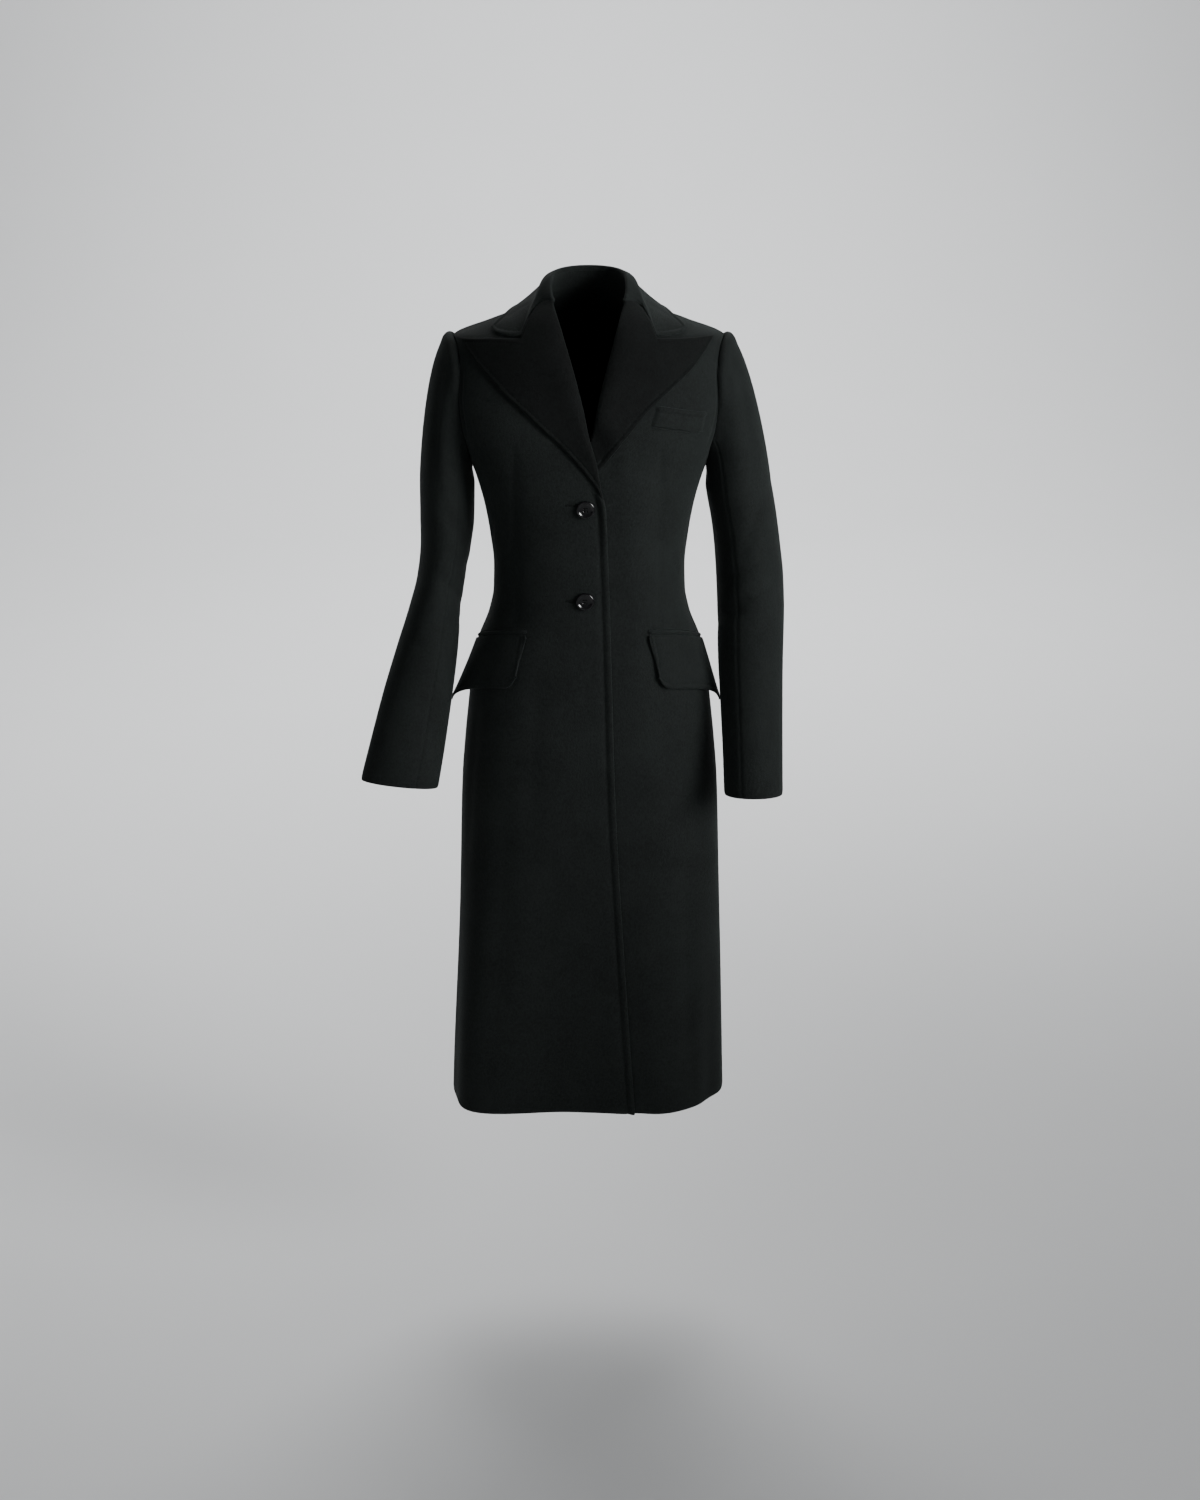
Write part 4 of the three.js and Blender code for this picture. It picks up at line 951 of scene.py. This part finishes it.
def clear_of_body(points, clearance):
    """Moves points out until they all clear the body."""
    for _ in range(4):
        x, y = points[..., 0], points[..., 1]
        z = np.minimum(points[..., 2], NECK_SEAM_Z)
        half, reach, square = HALF(z), np.where(y < 0, FRONT(z), BACK(z)), SQUARE(z)
        share = ((np.abs(x) / half) ** square + (np.abs(y) / reach) ** square) ** (1 / square)
        normal = body_normal(np.arctan2(x / half, -y / reach) / math.pi, z)
        gap = np.sum((points - np.stack([x / share, y / share, z], axis=-1)) * normal, axis=-1)
        points = points + normal * np.maximum(clearance - gap, 0)[..., None]
    return points


def round_the_neck(points, count):
    """A smooth line round both sides of the neck, from its left half and the same mirrored."""
    return rounded_line(np.vstack([points * (-1, 1, 1), points[-2::-1]]), count)


COLLAR_NOTCH_SHARE = 4 / 7
# Columns of the collar's grid from its crease to the notch, and from there to its leaf.
COLLAR_COLUMNS = (26, 12)
COLLAR_FOLD = {"radius": 2.6, "degrees": 120, "tail": 3.0}
# The collar's length round its crease and across its leaf, its hollow in front and swell behind, the
# roll below its crease, and the shares of its width and length over which the roll and ends reach.
COLLAR = {"round": 460, "leaf": 48, "hollow": -5, "swell": 4, "crest": 3.5, "crest_reach": 0.4,
          "end_reach": 0.2, "leaf_height": 4}
CREASE_POINTS = np.column_stack([COLLAR_CREASE["x"], COLLAR_CREASE["y"], COLLAR_CREASE["z"]])


def build_upper_collar():
    leaf_x, leaf_y = COLLAR_LEAF["x"], COLLAR_LEAF["y"]
    leaf_points = np.column_stack([leaf_x, leaf_y, shoulder_height(leaf_x, leaf_y) + COLLAR["leaf_height"]])
    lift = chosen("folded_thickness") + OVERLAY + COLLAR_CLEARANCE
    s = graded_shares(COLLAR["round"], 120)
    past = graded_shares(COLLAR["leaf"], COLLAR_COLUMNS[1], first=False)[1:]
    before = np.linspace(0, COLLAR_NOTCH_SHARE, COLLAR_COLUMNS[0])
    t = np.concatenate([before, mix(COLLAR_NOTCH_SHARE, 1, past)])
    crease_at = at_shares(round_the_neck(CREASE_POINTS, 600), s)[:, None]
    leaf_at = at_shares(round_the_neck(leaf_points, 600), s)[:, None]
    grid = mix(crease_at, leaf_at, t[None, :, None])
    behind = smooth_step(0, 45, grid[..., 1])
    bow = mix(COLLAR["hollow"], COLLAR["swell"], behind) * np.sin(math.pi * t) ** 2
    crest = COLLAR["crest"] * np.sin(math.pi * np.minimum(t / COLLAR["crest_reach"], 1))
    pulls = [np.maximum(0, 1 - share / COLLAR["end_reach"]) ** 2 for share in (s, 1 - s)]
    rise = (bow + crest) * (1 - np.maximum(*pulls))[:, None]
    grid = grid + unit(up_from_axis(grid)) * rise[..., None]
    for sign, pull, last in ((-1, pulls[0], 0), (1, pulls[1], -1)):
        gorge = collar_edge(GORGE, sign, lapel_lift(1, np.linspace(0, 0.5, 40)))
        short_end = np.vstack([gorge[-1], collar_edge(COLLAR_END, sign, lift)])
        edge = np.vstack([at_shares(gorge, before / COLLAR_NOTCH_SHARE), at_shares(short_end, past)])
        chord = mix(crease_at[last], leaf_at[last], t[:, None])
        grid = grid + (edge - chord)[None] * pull[:, None, None]
    grid = clear_of_body(grid, lift)
    leaf_end = np.where(t > COLLAR_NOTCH_SHARE, 0, FAR)
    sides = [(puffed, "end"), (puffed, "bottom", leaf_end), (puffed, "top", leaf_end),
             (seamed, "bottom", FAR - leaf_end), (seamed, "top", FAR - leaf_end)]
    grid = finish_edges(grid, *sides, outwards=up_from_axis)
    leaf_ends = [(side, COLLAR_COLUMNS[0] - 1, len(t)) for side in ("bottom", "top")]
    sew_picks("Upper_collar_stitches", grid, ("end", 4, -4), *leaf_ends, outwards=up_from_axis)
    radius = np.full(len(grid), COLLAR_FOLD["radius"])
    grid = curled(grid, radius, COLLAR_FOLD["degrees"], COLLAR_FOLD["tail"], up_from_axis)
    make_cloth("upper_collar", grid, chosen("folded_thickness"), up_from_axis)


def collar_edge(rows, sign, lift):
    """Points along one end of the collar, fine enough to keep its curves."""
    line = spaced(xz_line(rows, sign), 40)
    return front(line[:, 0], line[:, 1], lift)


STAND = {"above_seam": 0.5, "below_fold": 2.2, "inside_fold": 1.2}


def build_collar_stand():
    crease_line = round_the_neck(CREASE_POINTS, 151)[20:-20]
    turn = np.arctan2(crease_line[:, 0], -crease_line[:, 1]) / math.pi
    foot = bare_body(turn, NECK_SEAM_Z) + (0, 0, STAND["above_seam"])
    below = chosen("folded_thickness") + STAND["below_fold"]
    head = crease_line - (0, 0, below) - unit(crease_line * (1, 1, 0)) * STAND["inside_fold"]
    grid = mix(foot[None], head[None], np.linspace(0, 1, 12)[:, None, None])
    make_cloth("collar_stand", grid)


# ---- Pockets ----

def hip_turn(side, u, shift=0.0):
    inner = np.abs(front_turn(POCKET["inner_x"][side] + SIGN[side] * shift, POCKET["mouth_z"]))
    return SIGN[side] * mix(inner, POCKET["rear_turn"], u)


def mouth_height(u):
    """The pocket mouth's height, which falls towards the side."""
    return POCKET["mouth_z"] - POCKET["drop"] * u ** 1.5


def jet_grid(side):
    """A jet: a narrow folded strip with rounded ends, full in the middle."""
    length = POCKET["length"]
    run = np.concatenate([JET_END, np.linspace(5, length - 5, 52), length - JET_END[::-1]])
    ends = np.minimum(np.minimum(run, length - run) / JET_END[-1], 1)
    half = POCKET["jet"] / 2 * np.maximum(np.sqrt(1 - (1 - ends) ** 2), JET["blunt"])
    u = run / length
    rise = np.linspace(-1, 1, 25)[:, None]
    z = mouth_height(u)[None] + POCKET["mouth_gap"] + POCKET["jet"] / 2 + half[None] * rise
    pucker = JET["pucker"] * np.sin(run * 0.9 + np.sin(run * 0.31) * 2) * np.maximum(-rise, 0)
    lift = through(JET_PROFILE, "lift", "across")(rise) * mix(JET["end_lift"], 1, ends)[None] + pucker
    return body(hip_turn(side, u)[None], z, lift)


def flap_grid(side):
    length, radius = POCKET["length"], POCKET["corner"]
    corner = radius * (1 - np.cos(np.linspace(0, math.pi / 2, 14)))
    middle = np.linspace(radius, length - EDGE_STEPS[-1], 36)[1:]
    run = np.concatenate([corner, middle, length - EDGE_STEPS[::-1][1:]])
    u = run / length
    cut = radius - np.sqrt(np.maximum(radius ** 2 - np.maximum(radius - run, 0) ** 2, 0))
    height = POCKET["height"] + POCKET["rear_drop"] * np.maximum(2 * u - 1, 0) ** 2.5 - cut
    drop = graded_shares(POCKET["height"], 20, first=False)[:, None]
    z = mouth_height(u)[None] - POCKET["mouth_gap"] - height[None] * drop
    flare = POCKET["flare"][side] * drop ** 1.5 * smooth_step(POCKET["flare_from"], 1, u)[None]
    lift = chosen("folded_thickness") + OVERLAY + POCKET["lift"] * drop ** 2 + flare
    grid = body(hip_turn(side, u[None], POCKET["slant"] * drop * (1 - u)[None]), z, lift)
    return finish_edges(grid, (puffed, "start"), (puffed, "top"), (puffed, "end"))


def welt_grid():
    low_in, low_out, high_in, high_out = (
        np.array(WELT[name]) for name in ("inner_bottom", "outer_bottom", "inner_top", "outer_top"))
    seam, face = WELT["seam"], WELT["face"]
    s = np.concatenate([np.linspace(0, seam, 13), graded(face, 2, first=False)[1:] + seam]) / (face + seam)
    t = graded_shares(WELT["length"], 20)
    places = patch(np.vstack([low_in, low_out]), np.vstack([high_in, high_out]),
                   np.vstack([low_in, high_in]), np.vstack([low_out, high_out]), s, t)
    sewn = smooth_step(0, WELT["sewn"], t) * smooth_step(1, 1 - WELT["sewn"], t)
    up = s * np.linalg.norm(high_in - low_in)
    lift = mix(WELT["sunk"], through(WELT_PROFILE, "lift", "up")(up)[:, None], sewn[None])
    return finish_edges(front(places[..., 0], places[..., 1], lift), (puffed, "top"))


def build_pockets():
    for side in SIGN:
        flap = flap_grid(side)
        sew_picks(f"{side.title()}_flap_stitches", flap, ("start", 2, -6), ("top", 12, -4), ("end", 2, -6))
        make_cloth(f"pocket_flap_{side}", flap, chosen("folded_thickness"))
        make_cloth(f"pocket_jet_{side}", jet_grid(side), JET["thickness"])
    welt = welt_grid()
    sew_picks("Breast_welt_stitches", welt, ("top", 4, -4))
    make_cloth("breast_welt", welt, WELT_THICKNESS)


# ---- Buttons ----

def seat_at(x, z, lift=0.0):
    """A place on the front, and its normal."""
    turn = front_turn(x, z)
    return body(turn, z, lift), body_normal(turn, z)


# A button's profile from its back round the rim to its dished face: radius and height.
BUTTON_PROFILE = [
    (0, 0), (5, 0), (8.6, 0), (9.6, 0.25), (10.7, 0.8), (11.4, 1.6), (11.75, 2.5), (11.7, 3.2), (11.4, 3.9),
    (10.9, 4.4), (10.3, 4.6), (9.7, 4.55), (9.1, 4.3), (8.6, 3.9), (8.0, 3.4), (7.2, 3.05), (6.0, 2.85),
    (4.5, 2.75), (2.8, 2.7), (1.2, 2.7), (0, 2.7),
]


def bored(points, faces):
    """A button's mesh with its four thread holes cut right through."""
    blank = make_mesh("Button_blank", points, faces)
    cutters = []
    hole, low, high = BUTTON["hole"], *BUTTON["hole_reach"]
    post, post_faces = revolved([(0, low), (hole, low), (hole, high), (0, high)], 20)
    for angle in np.radians([45, 135, 225, 315]):
        offset = (BUTTON["hole_ring"] * math.cos(angle), BUTTON["hole_ring"] * math.sin(angle), 0)
        cutter = make_mesh("Hole", post + offset, post_faces)
        cut = blank.modifiers.new("Hole", "BOOLEAN")
        cut.object = cutter
        cut.operation = "DIFFERENCE"
        cut.solver = "EXACT"
        cutters.append(cutter)
    shaped = blank.evaluated_get(bpy.context.evaluated_depsgraph_get())
    mesh = bpy.data.meshes.new_from_object(shaped)
    for piece in (blank, *cutters):
        bpy.data.objects.remove(piece, do_unlink=True)
    return mesh


def on_cloth(mesh, place, normal):
    """Moves a mesh made about the origin, facing up, onto a place of the cloth."""
    turned = Vector(normal).to_track_quat("Z", "Y").to_matrix().to_4x4()
    mesh.transform(Matrix.Translation(Vector(place) * MM) @ turned)


def build_buttons():
    for name, (x, z, hole_z) in BUTTONS.items():
        place, normal = seat_at(x, z, BUTTON["clearance"])
        mesh = bored(*revolved(BUTTON_PROFILE, 72))
        mesh.transform(Matrix.Scale(chosen("button_width") / (2 * BUTTON["profile_radius"]), 4))
        on_cloth(mesh, place, normal)
        piece = put_in_scene(name.capitalize(), mesh)
        attach(piece, HORN)
        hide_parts(name)
        sew_on(name, place, normal)
        bind_buttonhole(name, x, hole_z)


def sew_on(name, place, normal):
    """The thread through a button's holes: two bars across its face, and their legs down to the cloth."""
    ring, rim, top = BUTTON["hole_ring"] / math.sqrt(2), BUTTON["thread_rim"], BUTTON["thread_top"]
    points, faces = [], []
    for y in (-ring, ring):
        bar = np.array([(-ring, y, 0), (-ring, y, rim), (-ring * 0.5, y, top), (ring * 0.5, y, top),
                        (ring, y, rim), (ring, y, 0)])
        for strand in (-BUTTON["strand"], BUTTON["strand"]):
            line = rounded_line(bar + (0, strand, 0), 30)
            wall, sides = thread_tube(line, np.full(30, BUTTON["thread"]), 6, False)
            faces += [[k + sum(map(len, points)) for k in face] for face in sides]
            points.append(wall)
    piece = make_mesh(f"{name.capitalize()}_thread", np.concatenate(points), faces)
    on_cloth(piece.data, place, normal)
    attach(piece, THREAD)


def bind_buttonhole(name, x, z):
    """A worked buttonhole: a slit with close upright stitches all round, which the button partly hides."""
    half, radius, bead = BUTTONHOLE["length"] / 2, BUTTONHOLE["width"] / 2, BUTTONHOLE["bead"]
    middle = x + BUTTONHOLE["toward_edge"] - half
    angle = np.linspace(0, 2 * math.pi, 260, endpoint=False)
    along = half * power_of(np.cos(angle), 0.35)
    across = radius * power_of(np.sin(angle), 0.5)
    ring = front(middle + along, z + across, bead * 0.25)
    ring = spaced(np.vstack([ring, ring[:1]]), 261)[:-1]
    wraps = 0.5 + 0.5 * np.cos(lengths_along(ring) * 2 * math.pi / BUTTONHOLE["stitch"])
    piece = make_mesh(f"{name.capitalize()}_hole", *thread_tube(ring, bead * (0.82 + 0.18 * wraps), 8, True))
    attach(piece, THREAD)


# ---- Materials ----

def node_group(name, inputs, outputs):
    """A shader node group with named number inputs and outputs."""
    group = bpy.data.node_groups.new(name, "ShaderNodeTree")
    for label, default in inputs.items():
        socket = group.interface.new_socket(name=label, in_out="INPUT", socket_type="NodeSocketFloat")
        socket.default_value = default
    for label in outputs:
        group.interface.new_socket(name=label, in_out="OUTPUT", socket_type="NodeSocketFloat")
    return group, group.nodes.new("NodeGroupInput"), group.nodes.new("NodeGroupOutput")


def noise(tree, scale, detail=3.0, stretch=None):
    """Noise over the coat's own space, in metres, drawn out along each axis by stretch."""
    place = tree.nodes.new("ShaderNodeTexCoord").outputs["Object"]
    if stretch:
        drawn = tree.nodes.new("ShaderNodeMapping")
        drawn.inputs["Scale"].default_value = stretch
        tree.links.new(place, drawn.inputs["Vector"])
        place = drawn.outputs["Vector"]
    node = tree.nodes.new("ShaderNodeTexNoise")
    node.inputs["Scale"].default_value = scale
    node.inputs["Detail"].default_value = detail
    tree.links.new(place, node.inputs["Vector"])
    return node.outputs["Fac"]


def sums(tree, operation, first, second):
    node = tree.nodes.new("ShaderNodeMath")
    node.operation = operation
    for socket, value in zip(node.inputs, (first, second)):
        if isinstance(value, float):
            socket.default_value = value
        else:
            tree.links.new(value, socket)
    return node.outputs[0]


def weave(tree):
    """Slanting twill lines over the cloth's own measures, which run in metres."""
    cloth = tree.nodes.new("ShaderNodeUVMap")
    cloth.uv_map = "Cloth"
    lines = tree.nodes.new("ShaderNodeTexWave")
    lines.bands_direction = "DIAGONAL"
    scale = math.pi / 5 / math.sqrt(2) / bpy.context.scene.coat_cloth.twill_pitch
    lines.inputs["Scale"].default_value = scale
    lines.inputs["Distortion"].default_value = 1.6
    lines.inputs["Detail"].default_value = 2.0
    lines.inputs["Detail Scale"].default_value = 3.0
    tree.links.new(cloth.outputs["UV"], lines.inputs["Vector"])
    return lines.outputs["Fac"]


def nap_group():
    """Short soft nap over a twill: fine fibre, tufts, and slow patches where the nap lies another way."""
    inputs = {"Fibre": 1.0, "Weave": 0.3, "Patches": 1.0}
    group, given, put = node_group("Wool nap", inputs, ["Height", "Shade"])
    fibre = noise(group, 1100.0, 4.0, (1, 1, 0.5))
    tuft = noise(group, 380.0, 3.0, (1, 1, 0.7))
    lie = noise(group, 16.0, 3.0)
    twill = sums(group, "MULTIPLY", weave(group), given.outputs["Weave"])
    rough = sums(group, "ADD", fibre, sums(group, "MULTIPLY", tuft, 0.9))
    height = sums(group, "ADD", sums(group, "MULTIPLY", rough, given.outputs["Fibre"]), twill)
    group.links.new(height, put.inputs["Height"])
    patches = sums(group, "MULTIPLY", sums(group, "SUBTRACT", lie, 0.5), given.outputs["Patches"])
    speck = sums(group, "MULTIPLY", sums(group, "SUBTRACT", fibre, 0.5), 0.9)
    clump = sums(group, "MULTIPLY", sums(group, "SUBTRACT", tuft, 0.5), 1.1)
    shade = sums(group, "ADD", sums(group, "ADD", patches, speck), sums(group, "ADD", clump, 0.5))
    group.links.new(sums(group, "ADD", shade, sums(group, "MULTIPLY", twill, 0.25)), put.inputs["Shade"])
    return group


def principled(name, settings):
    material = bpy.data.materials.new(name)
    material.use_nodes = True
    shader = material.node_tree.nodes["Principled BSDF"]
    for label, value in settings.items():
        shader.inputs[label].default_value = value
    return material, material.node_tree, shader


def colour_between(tree, shader, value, dark, light, ends=(0.0, 1.0)):
    """The base colour runs from dark to light as a value goes from one end to the other."""
    ramp = tree.nodes.new("ShaderNodeValToRGB")
    for element, place, colour in zip(ramp.color_ramp.elements, ends, (dark, light)):
        element.position = place
        element.color = (*colour, 1)
    tree.links.new(value, ramp.inputs["Fac"])
    tree.links.new(ramp.outputs["Color"], shader.inputs["Base Color"])


def napped(name, group, dark, light, nap_values, depth, settings):
    """A wool finish: its shade runs between two colours with the nap, which also raises its surface."""
    _, tree, shader = principled(name, settings)
    nap = tree.nodes.new("ShaderNodeGroup")
    nap.node_tree = group
    for label, value in nap_values.items():
        nap.inputs[label].default_value = value
    colour_between(tree, shader, nap.outputs["Shade"], dark, light, (0.2, 0.8))
    bump = tree.nodes.new("ShaderNodeBump")
    bump.inputs["Strength"].default_value = depth
    bump.inputs["Distance"].default_value = NAP_HEIGHT
    tree.links.new(nap.outputs["Height"], bump.inputs["Height"])
    tree.links.new(bump.outputs["Normal"], shader.inputs["Normal"])


def shaded(colour, share):
    return tuple(share * c for c in colour)


NAP_HEIGHT = 0.6 * MM


def make_materials():
    coat = bpy.context.scene.coat_cloth
    group = nap_group()
    wool = tuple(coat.wool_colour)
    finish = {"Roughness": 0.85, "Sheen Weight": coat.sheen, "Sheen Roughness": 0.5,
              "Sheen Tint": (0.60, 0.70, 0.68, 1), "Specular IOR Level": 0.08}
    woven = {"Fibre": 1.0, "Weave": 0.4, "Patches": 0.6}
    napped(WOOL, group, shaded(wool, 0.5), shaded(wool, 1.12), woven, coat.nap_depth, finish)
    brushed = {"Fibre": 0.8, "Weave": 0.3, "Patches": 0.7}
    pressed = {**finish, "Sheen Weight": 0.6 * coat.sheen}
    # The lapels are the same wool as the fronts with their colours painted darker: painted shade for the
    # light that their reversed nap turns away.
    napped(SHADED_FACING, group, shaded(wool, 0.2), shaded(wool, 0.55), brushed, coat.nap_depth, pressed)
    # The thread is black like the wool, and its colours run a little darker: painted shade of the dimples
    # that the pick stitches pull into the cloth.
    twisted = {"Fibre": 0.4, "Weave": 0.0, "Patches": 0.0}
    matt = {"Roughness": 0.85, "Sheen Weight": 0.02, "Sheen Roughness": 0.4, "Specular IOR Level": 0.05}
    napped(THREAD, group, shaded(wool, 0.5), shaded(wool, 0.9), twisted, 0.3, matt)
    polished = {"Roughness": 0.16, "Coat Weight": 0.35, "Coat Roughness": 0.05, "Specular IOR Level": 0.3}
    _, tree, shader = principled(HORN, polished)
    streak = noise(tree, 240.0, 4.0, (1, 1, 5))
    colour_between(tree, shader, streak, shaded(coat.horn_colour, 0.6), coat.horn_colour)


# ---- Stage ----

FLOOR_ROUGHNESS = 0.8
# The floor's half width, where it starts to bend up behind the coat, its bend, and the wall's height.
FLOOR = {"half": 9.0, "back": 4.5, "bend": 3.0, "wall": 7.0}
# Each lamp: its place and aim, its size, power and spread, and whether the buttons mirror it.
LAMPS = {
    "Key": ((1.75, -1.25, 0.35), (0, 0, -0.22), 1.2, 12, 50, True),
    "Fill": ((-2.4, -2.6, 0.6), (0, 0, -0.4), 3.2, 40, 180, False),
    "Low": ((1.3, -2.8, -0.3), (0, 0, -0.35), 1.0, 2.2, 60, False),
    "Overhead": ((0.2, 2.2, 2.8), (0, 2.4, -1.4), 2.4, 68, 120, True),
    "Backdrop": ((0, 3.4, 3.0), (0, 5.5, 0.5), 2.4, 198, 140, True),
    "Behind": ((-1.2, 2.6, 1.2), (0, 0, -0.4), 1.6, 23, 180, True),
}
ROOM_COLOUR = (0.86, 0.87, 0.88, 1)
CAMERA = {"lens": 59.5, "sensor": 36, "place": (0.0142, -3.178, 0.540), "tilt": 70.5}


def plain_material(name, colour, roughness):
    material, tree, shader = principled(name, {"Roughness": roughness})
    colour_between(tree, shader, noise(tree, 3.0, 2.0), shaded(colour, 0.97), colour)
    return material


def soft_light(name, strength, place, aim, size, power, spread, mirrored):
    lamp = bpy.data.lights.new(name, "AREA")
    lamp.size = size
    lamp.energy = power * strength
    lamp.spread = math.radians(spread)
    light = put_in_scene(name, lamp)
    light.location = place
    light.rotation_euler = (Vector(aim) - Vector(place)).to_track_quat("-Z", "Y").to_euler()
    light.visible_glossy = mirrored
    return light


def make_floor(stage):
    """The floor, which bends up into a wall behind the coat."""
    half, back, bend, z = FLOOR["half"], FLOOR["back"], FLOOR["bend"], stage.floor_height
    rise = np.linspace(0, math.pi / 2, 25)
    curve = zip(back + bend * np.sin(rise), z + bend * (1 - np.cos(rise)))
    profile = [(-half, z), *curve, (back + bend, z + FLOOR["wall"])]
    points = [(x, y, height) for y, height in profile for x in (-half, half)]
    faces = [(2 * k, 2 * k + 1, 2 * k + 3, 2 * k + 2) for k in range(len(profile) - 1)]
    floor = make_mesh("Studio_floor", np.array(points) / MM, faces)
    floor.data.materials.append(plain_material("Pale floor", tuple(stage.floor_colour), FLOOR_ROUGHNESS))
    return floor


def build_stage():
    stage = bpy.context.scene.coat_stage
    floor = make_floor(stage)
    lamps = [soft_light(name, stage.light_power, *settings) for name, settings in LAMPS.items()]
    world = bpy.data.worlds.new("Studio")
    world.use_nodes = True
    room = world.node_tree.nodes["Background"].inputs
    room["Color"].default_value = ROOM_COLOUR
    room["Strength"].default_value = stage.room_light
    bpy.context.scene.world = world
    view = bpy.data.cameras.new("Studio camera")
    view.sensor_fit = "VERTICAL"
    view.sensor_height = CAMERA["sensor"]
    view.lens = CAMERA["lens"]
    camera = put_in_scene("Studio camera", view)
    camera.location = CAMERA["place"]
    camera.rotation_euler = (math.radians(CAMERA["tilt"]), 0, 0)
    bpy.context.scene.camera = camera


# ---- What a user can change ----

def length(name, description, size, least, most):
    """A length that the user can change, given in millimetres."""
    return FloatProperty(name=name, description=description, default=size * MM, min=least * MM, max=most * MM,
                         precision=4, unit="LENGTH")


def factor(name, description, value):
    return FloatProperty(name=name, description=description, default=value, min=0, max=1, subtype="FACTOR")


def colour(name, description, value):
    return FloatVectorProperty(name=name, description=description, default=value, min=0, max=1,
                               subtype="COLOR")


class CoatCloth(bpy.types.PropertyGroup):
    """The cloth's sewing, and the colours of cloth and buttons."""
    thickness: length("Cloth thickness", "Thickness of the panels' cloth", 2.4, 1, 3)
    folded_thickness: length("Folded thickness", "Thickness of lapels, collar and flaps", 2.6, 1, 3)
    stitch_step: length("Stitch spacing", "Distance between pick stitches", 6.5, 2, 20)
    stitch_from_edge: length("Stitch line", "Distance of the pick stitches from the edge", 6.8, 3, 12)
    twill_pitch: length("Twill pitch", "Distance between the weave's slanting lines", 1.3, 0.4, 5)
    button_width: length("Button width", "Diameter of the buttons", 23.5, 15, 30)
    sheen: factor("Sheen", "How much the nap's fibre ends catch the light", 0.045)
    nap_depth: factor("Nap depth", "How strongly the nap and weave raise the surface", 0.6)
    wool_colour: colour("Wool", "Colour of the wool in the light", (0.0072, 0.0088, 0.0084))
    horn_colour: colour("Horn", "Colour of the buttons", (0.003, 0.003, 0.0035))


class CoatStage(bpy.types.PropertyGroup):
    """The studio's floor and light."""
    floor_height: FloatProperty(name="Floor height", description="Height of the floor, from the shoulders",
                                default=-1.45, unit="LENGTH")
    floor_colour: colour("Floor", "Colour of the floor", (0.72, 0.73, 0.74))
    light_power: FloatProperty(name="Light", description="Strength of the lamps", default=1.0, min=0)
    room_light: FloatProperty(name="Room light", description="Strength of the light from all round",
                              default=0.14, min=0)


# ---- Operators ----

class CoatOperator:
    bl_options = {"REGISTER", "UNDO"}

    def execute(self, context):
        self.build()
        return {"FINISHED"}


class COAT_OT_materials(CoatOperator, bpy.types.Operator):
    """Make the wool, thread and horn finishes"""
    bl_idname = "coat.materials"
    bl_label = "Finishes"
    build = staticmethod(make_materials)


class COAT_OT_fronts(CoatOperator, bpy.types.Operator):
    """Build the two fronts, the right one lapped over the left"""
    bl_idname = "coat.fronts"
    bl_label = "Fronts"
    build = staticmethod(build_fronts)


class COAT_OT_back(CoatOperator, bpy.types.Operator):
    """Build the two halves of the back"""
    bl_idname = "coat.back"
    bl_label = "Back"
    build = staticmethod(build_back)


class COAT_OT_sleeves(CoatOperator, bpy.types.Operator):
    """Build the two-piece sleeves with their full heads"""
    bl_idname = "coat.sleeves"
    bl_label = "Sleeves"
    build = staticmethod(build_sleeves)


class COAT_OT_lapels(CoatOperator, bpy.types.Operator):
    """Build the peak lapels with their rolled folds"""
    bl_idname = "coat.lapels"
    bl_label = "Lapels"
    build = staticmethod(build_lapels)


class COAT_OT_upper_collar(CoatOperator, bpy.types.Operator):
    """Build the collar's fall"""
    bl_idname = "coat.upper_collar"
    bl_label = "Upper collar"
    build = staticmethod(build_upper_collar)


class COAT_OT_collar_stand(CoatOperator, bpy.types.Operator):
    """Build the collar's stand"""
    bl_idname = "coat.collar_stand"
    bl_label = "Collar stand"
    build = staticmethod(build_collar_stand)


class COAT_OT_pockets(CoatOperator, bpy.types.Operator):
    """Build the hip pockets' jets and flaps, and the breast welt"""
    bl_idname = "coat.pockets"
    bl_label = "Pockets"
    build = staticmethod(build_pockets)


class COAT_OT_buttons(CoatOperator, bpy.types.Operator):
    """Build the two horn buttons"""
    bl_idname = "coat.buttons"
    bl_label = "Buttons"
    build = staticmethod(build_buttons)


class COAT_OT_stage(CoatOperator, bpy.types.Operator):
    """Set up the floor, the soft lights and the camera"""
    bl_idname = "coat.stage"
    bl_label = "Stage"
    build = staticmethod(build_stage)


OPERATORS = (COAT_OT_materials, COAT_OT_fronts, COAT_OT_back, COAT_OT_sleeves, COAT_OT_lapels,
             COAT_OT_upper_collar, COAT_OT_collar_stand, COAT_OT_pockets, COAT_OT_buttons, COAT_OT_stage)


class VIEW3D_PT_coat(bpy.types.Panel):
    """Lists the coat's sizes, colours and pieces"""
    bl_idname = "VIEW3D_PT_coat"
    bl_label = "Chesterfield coat"
    bl_space_type = "VIEW_3D"
    bl_region_type = "UI"
    bl_category = "Coat"

    def draw(self, context):
        for group in (context.scene.coat_cloth, context.scene.coat_stage):
            for name in type(group).__annotations__:
                self.layout.prop(group, name)
        for operator in OPERATORS:
            self.layout.operator(operator.bl_idname)


CLASSES = (CoatCloth, CoatStage, *OPERATORS, VIEW3D_PT_coat)


def register():
    for each in CLASSES:
        bpy.utils.register_class(each)
    bpy.types.Scene.coat_cloth = PointerProperty(type=CoatCloth)
    bpy.types.Scene.coat_stage = PointerProperty(type=CoatStage)


def unregister():
    del bpy.types.Scene.coat_stage
    del bpy.types.Scene.coat_cloth
    for each in reversed(CLASSES):
        bpy.utils.unregister_class(each)


def main():
    register()
    for operator in OPERATORS:
        getattr(bpy.ops.coat, operator.bl_idname.split(".")[1])()


if __name__ == "__main__":
    main()
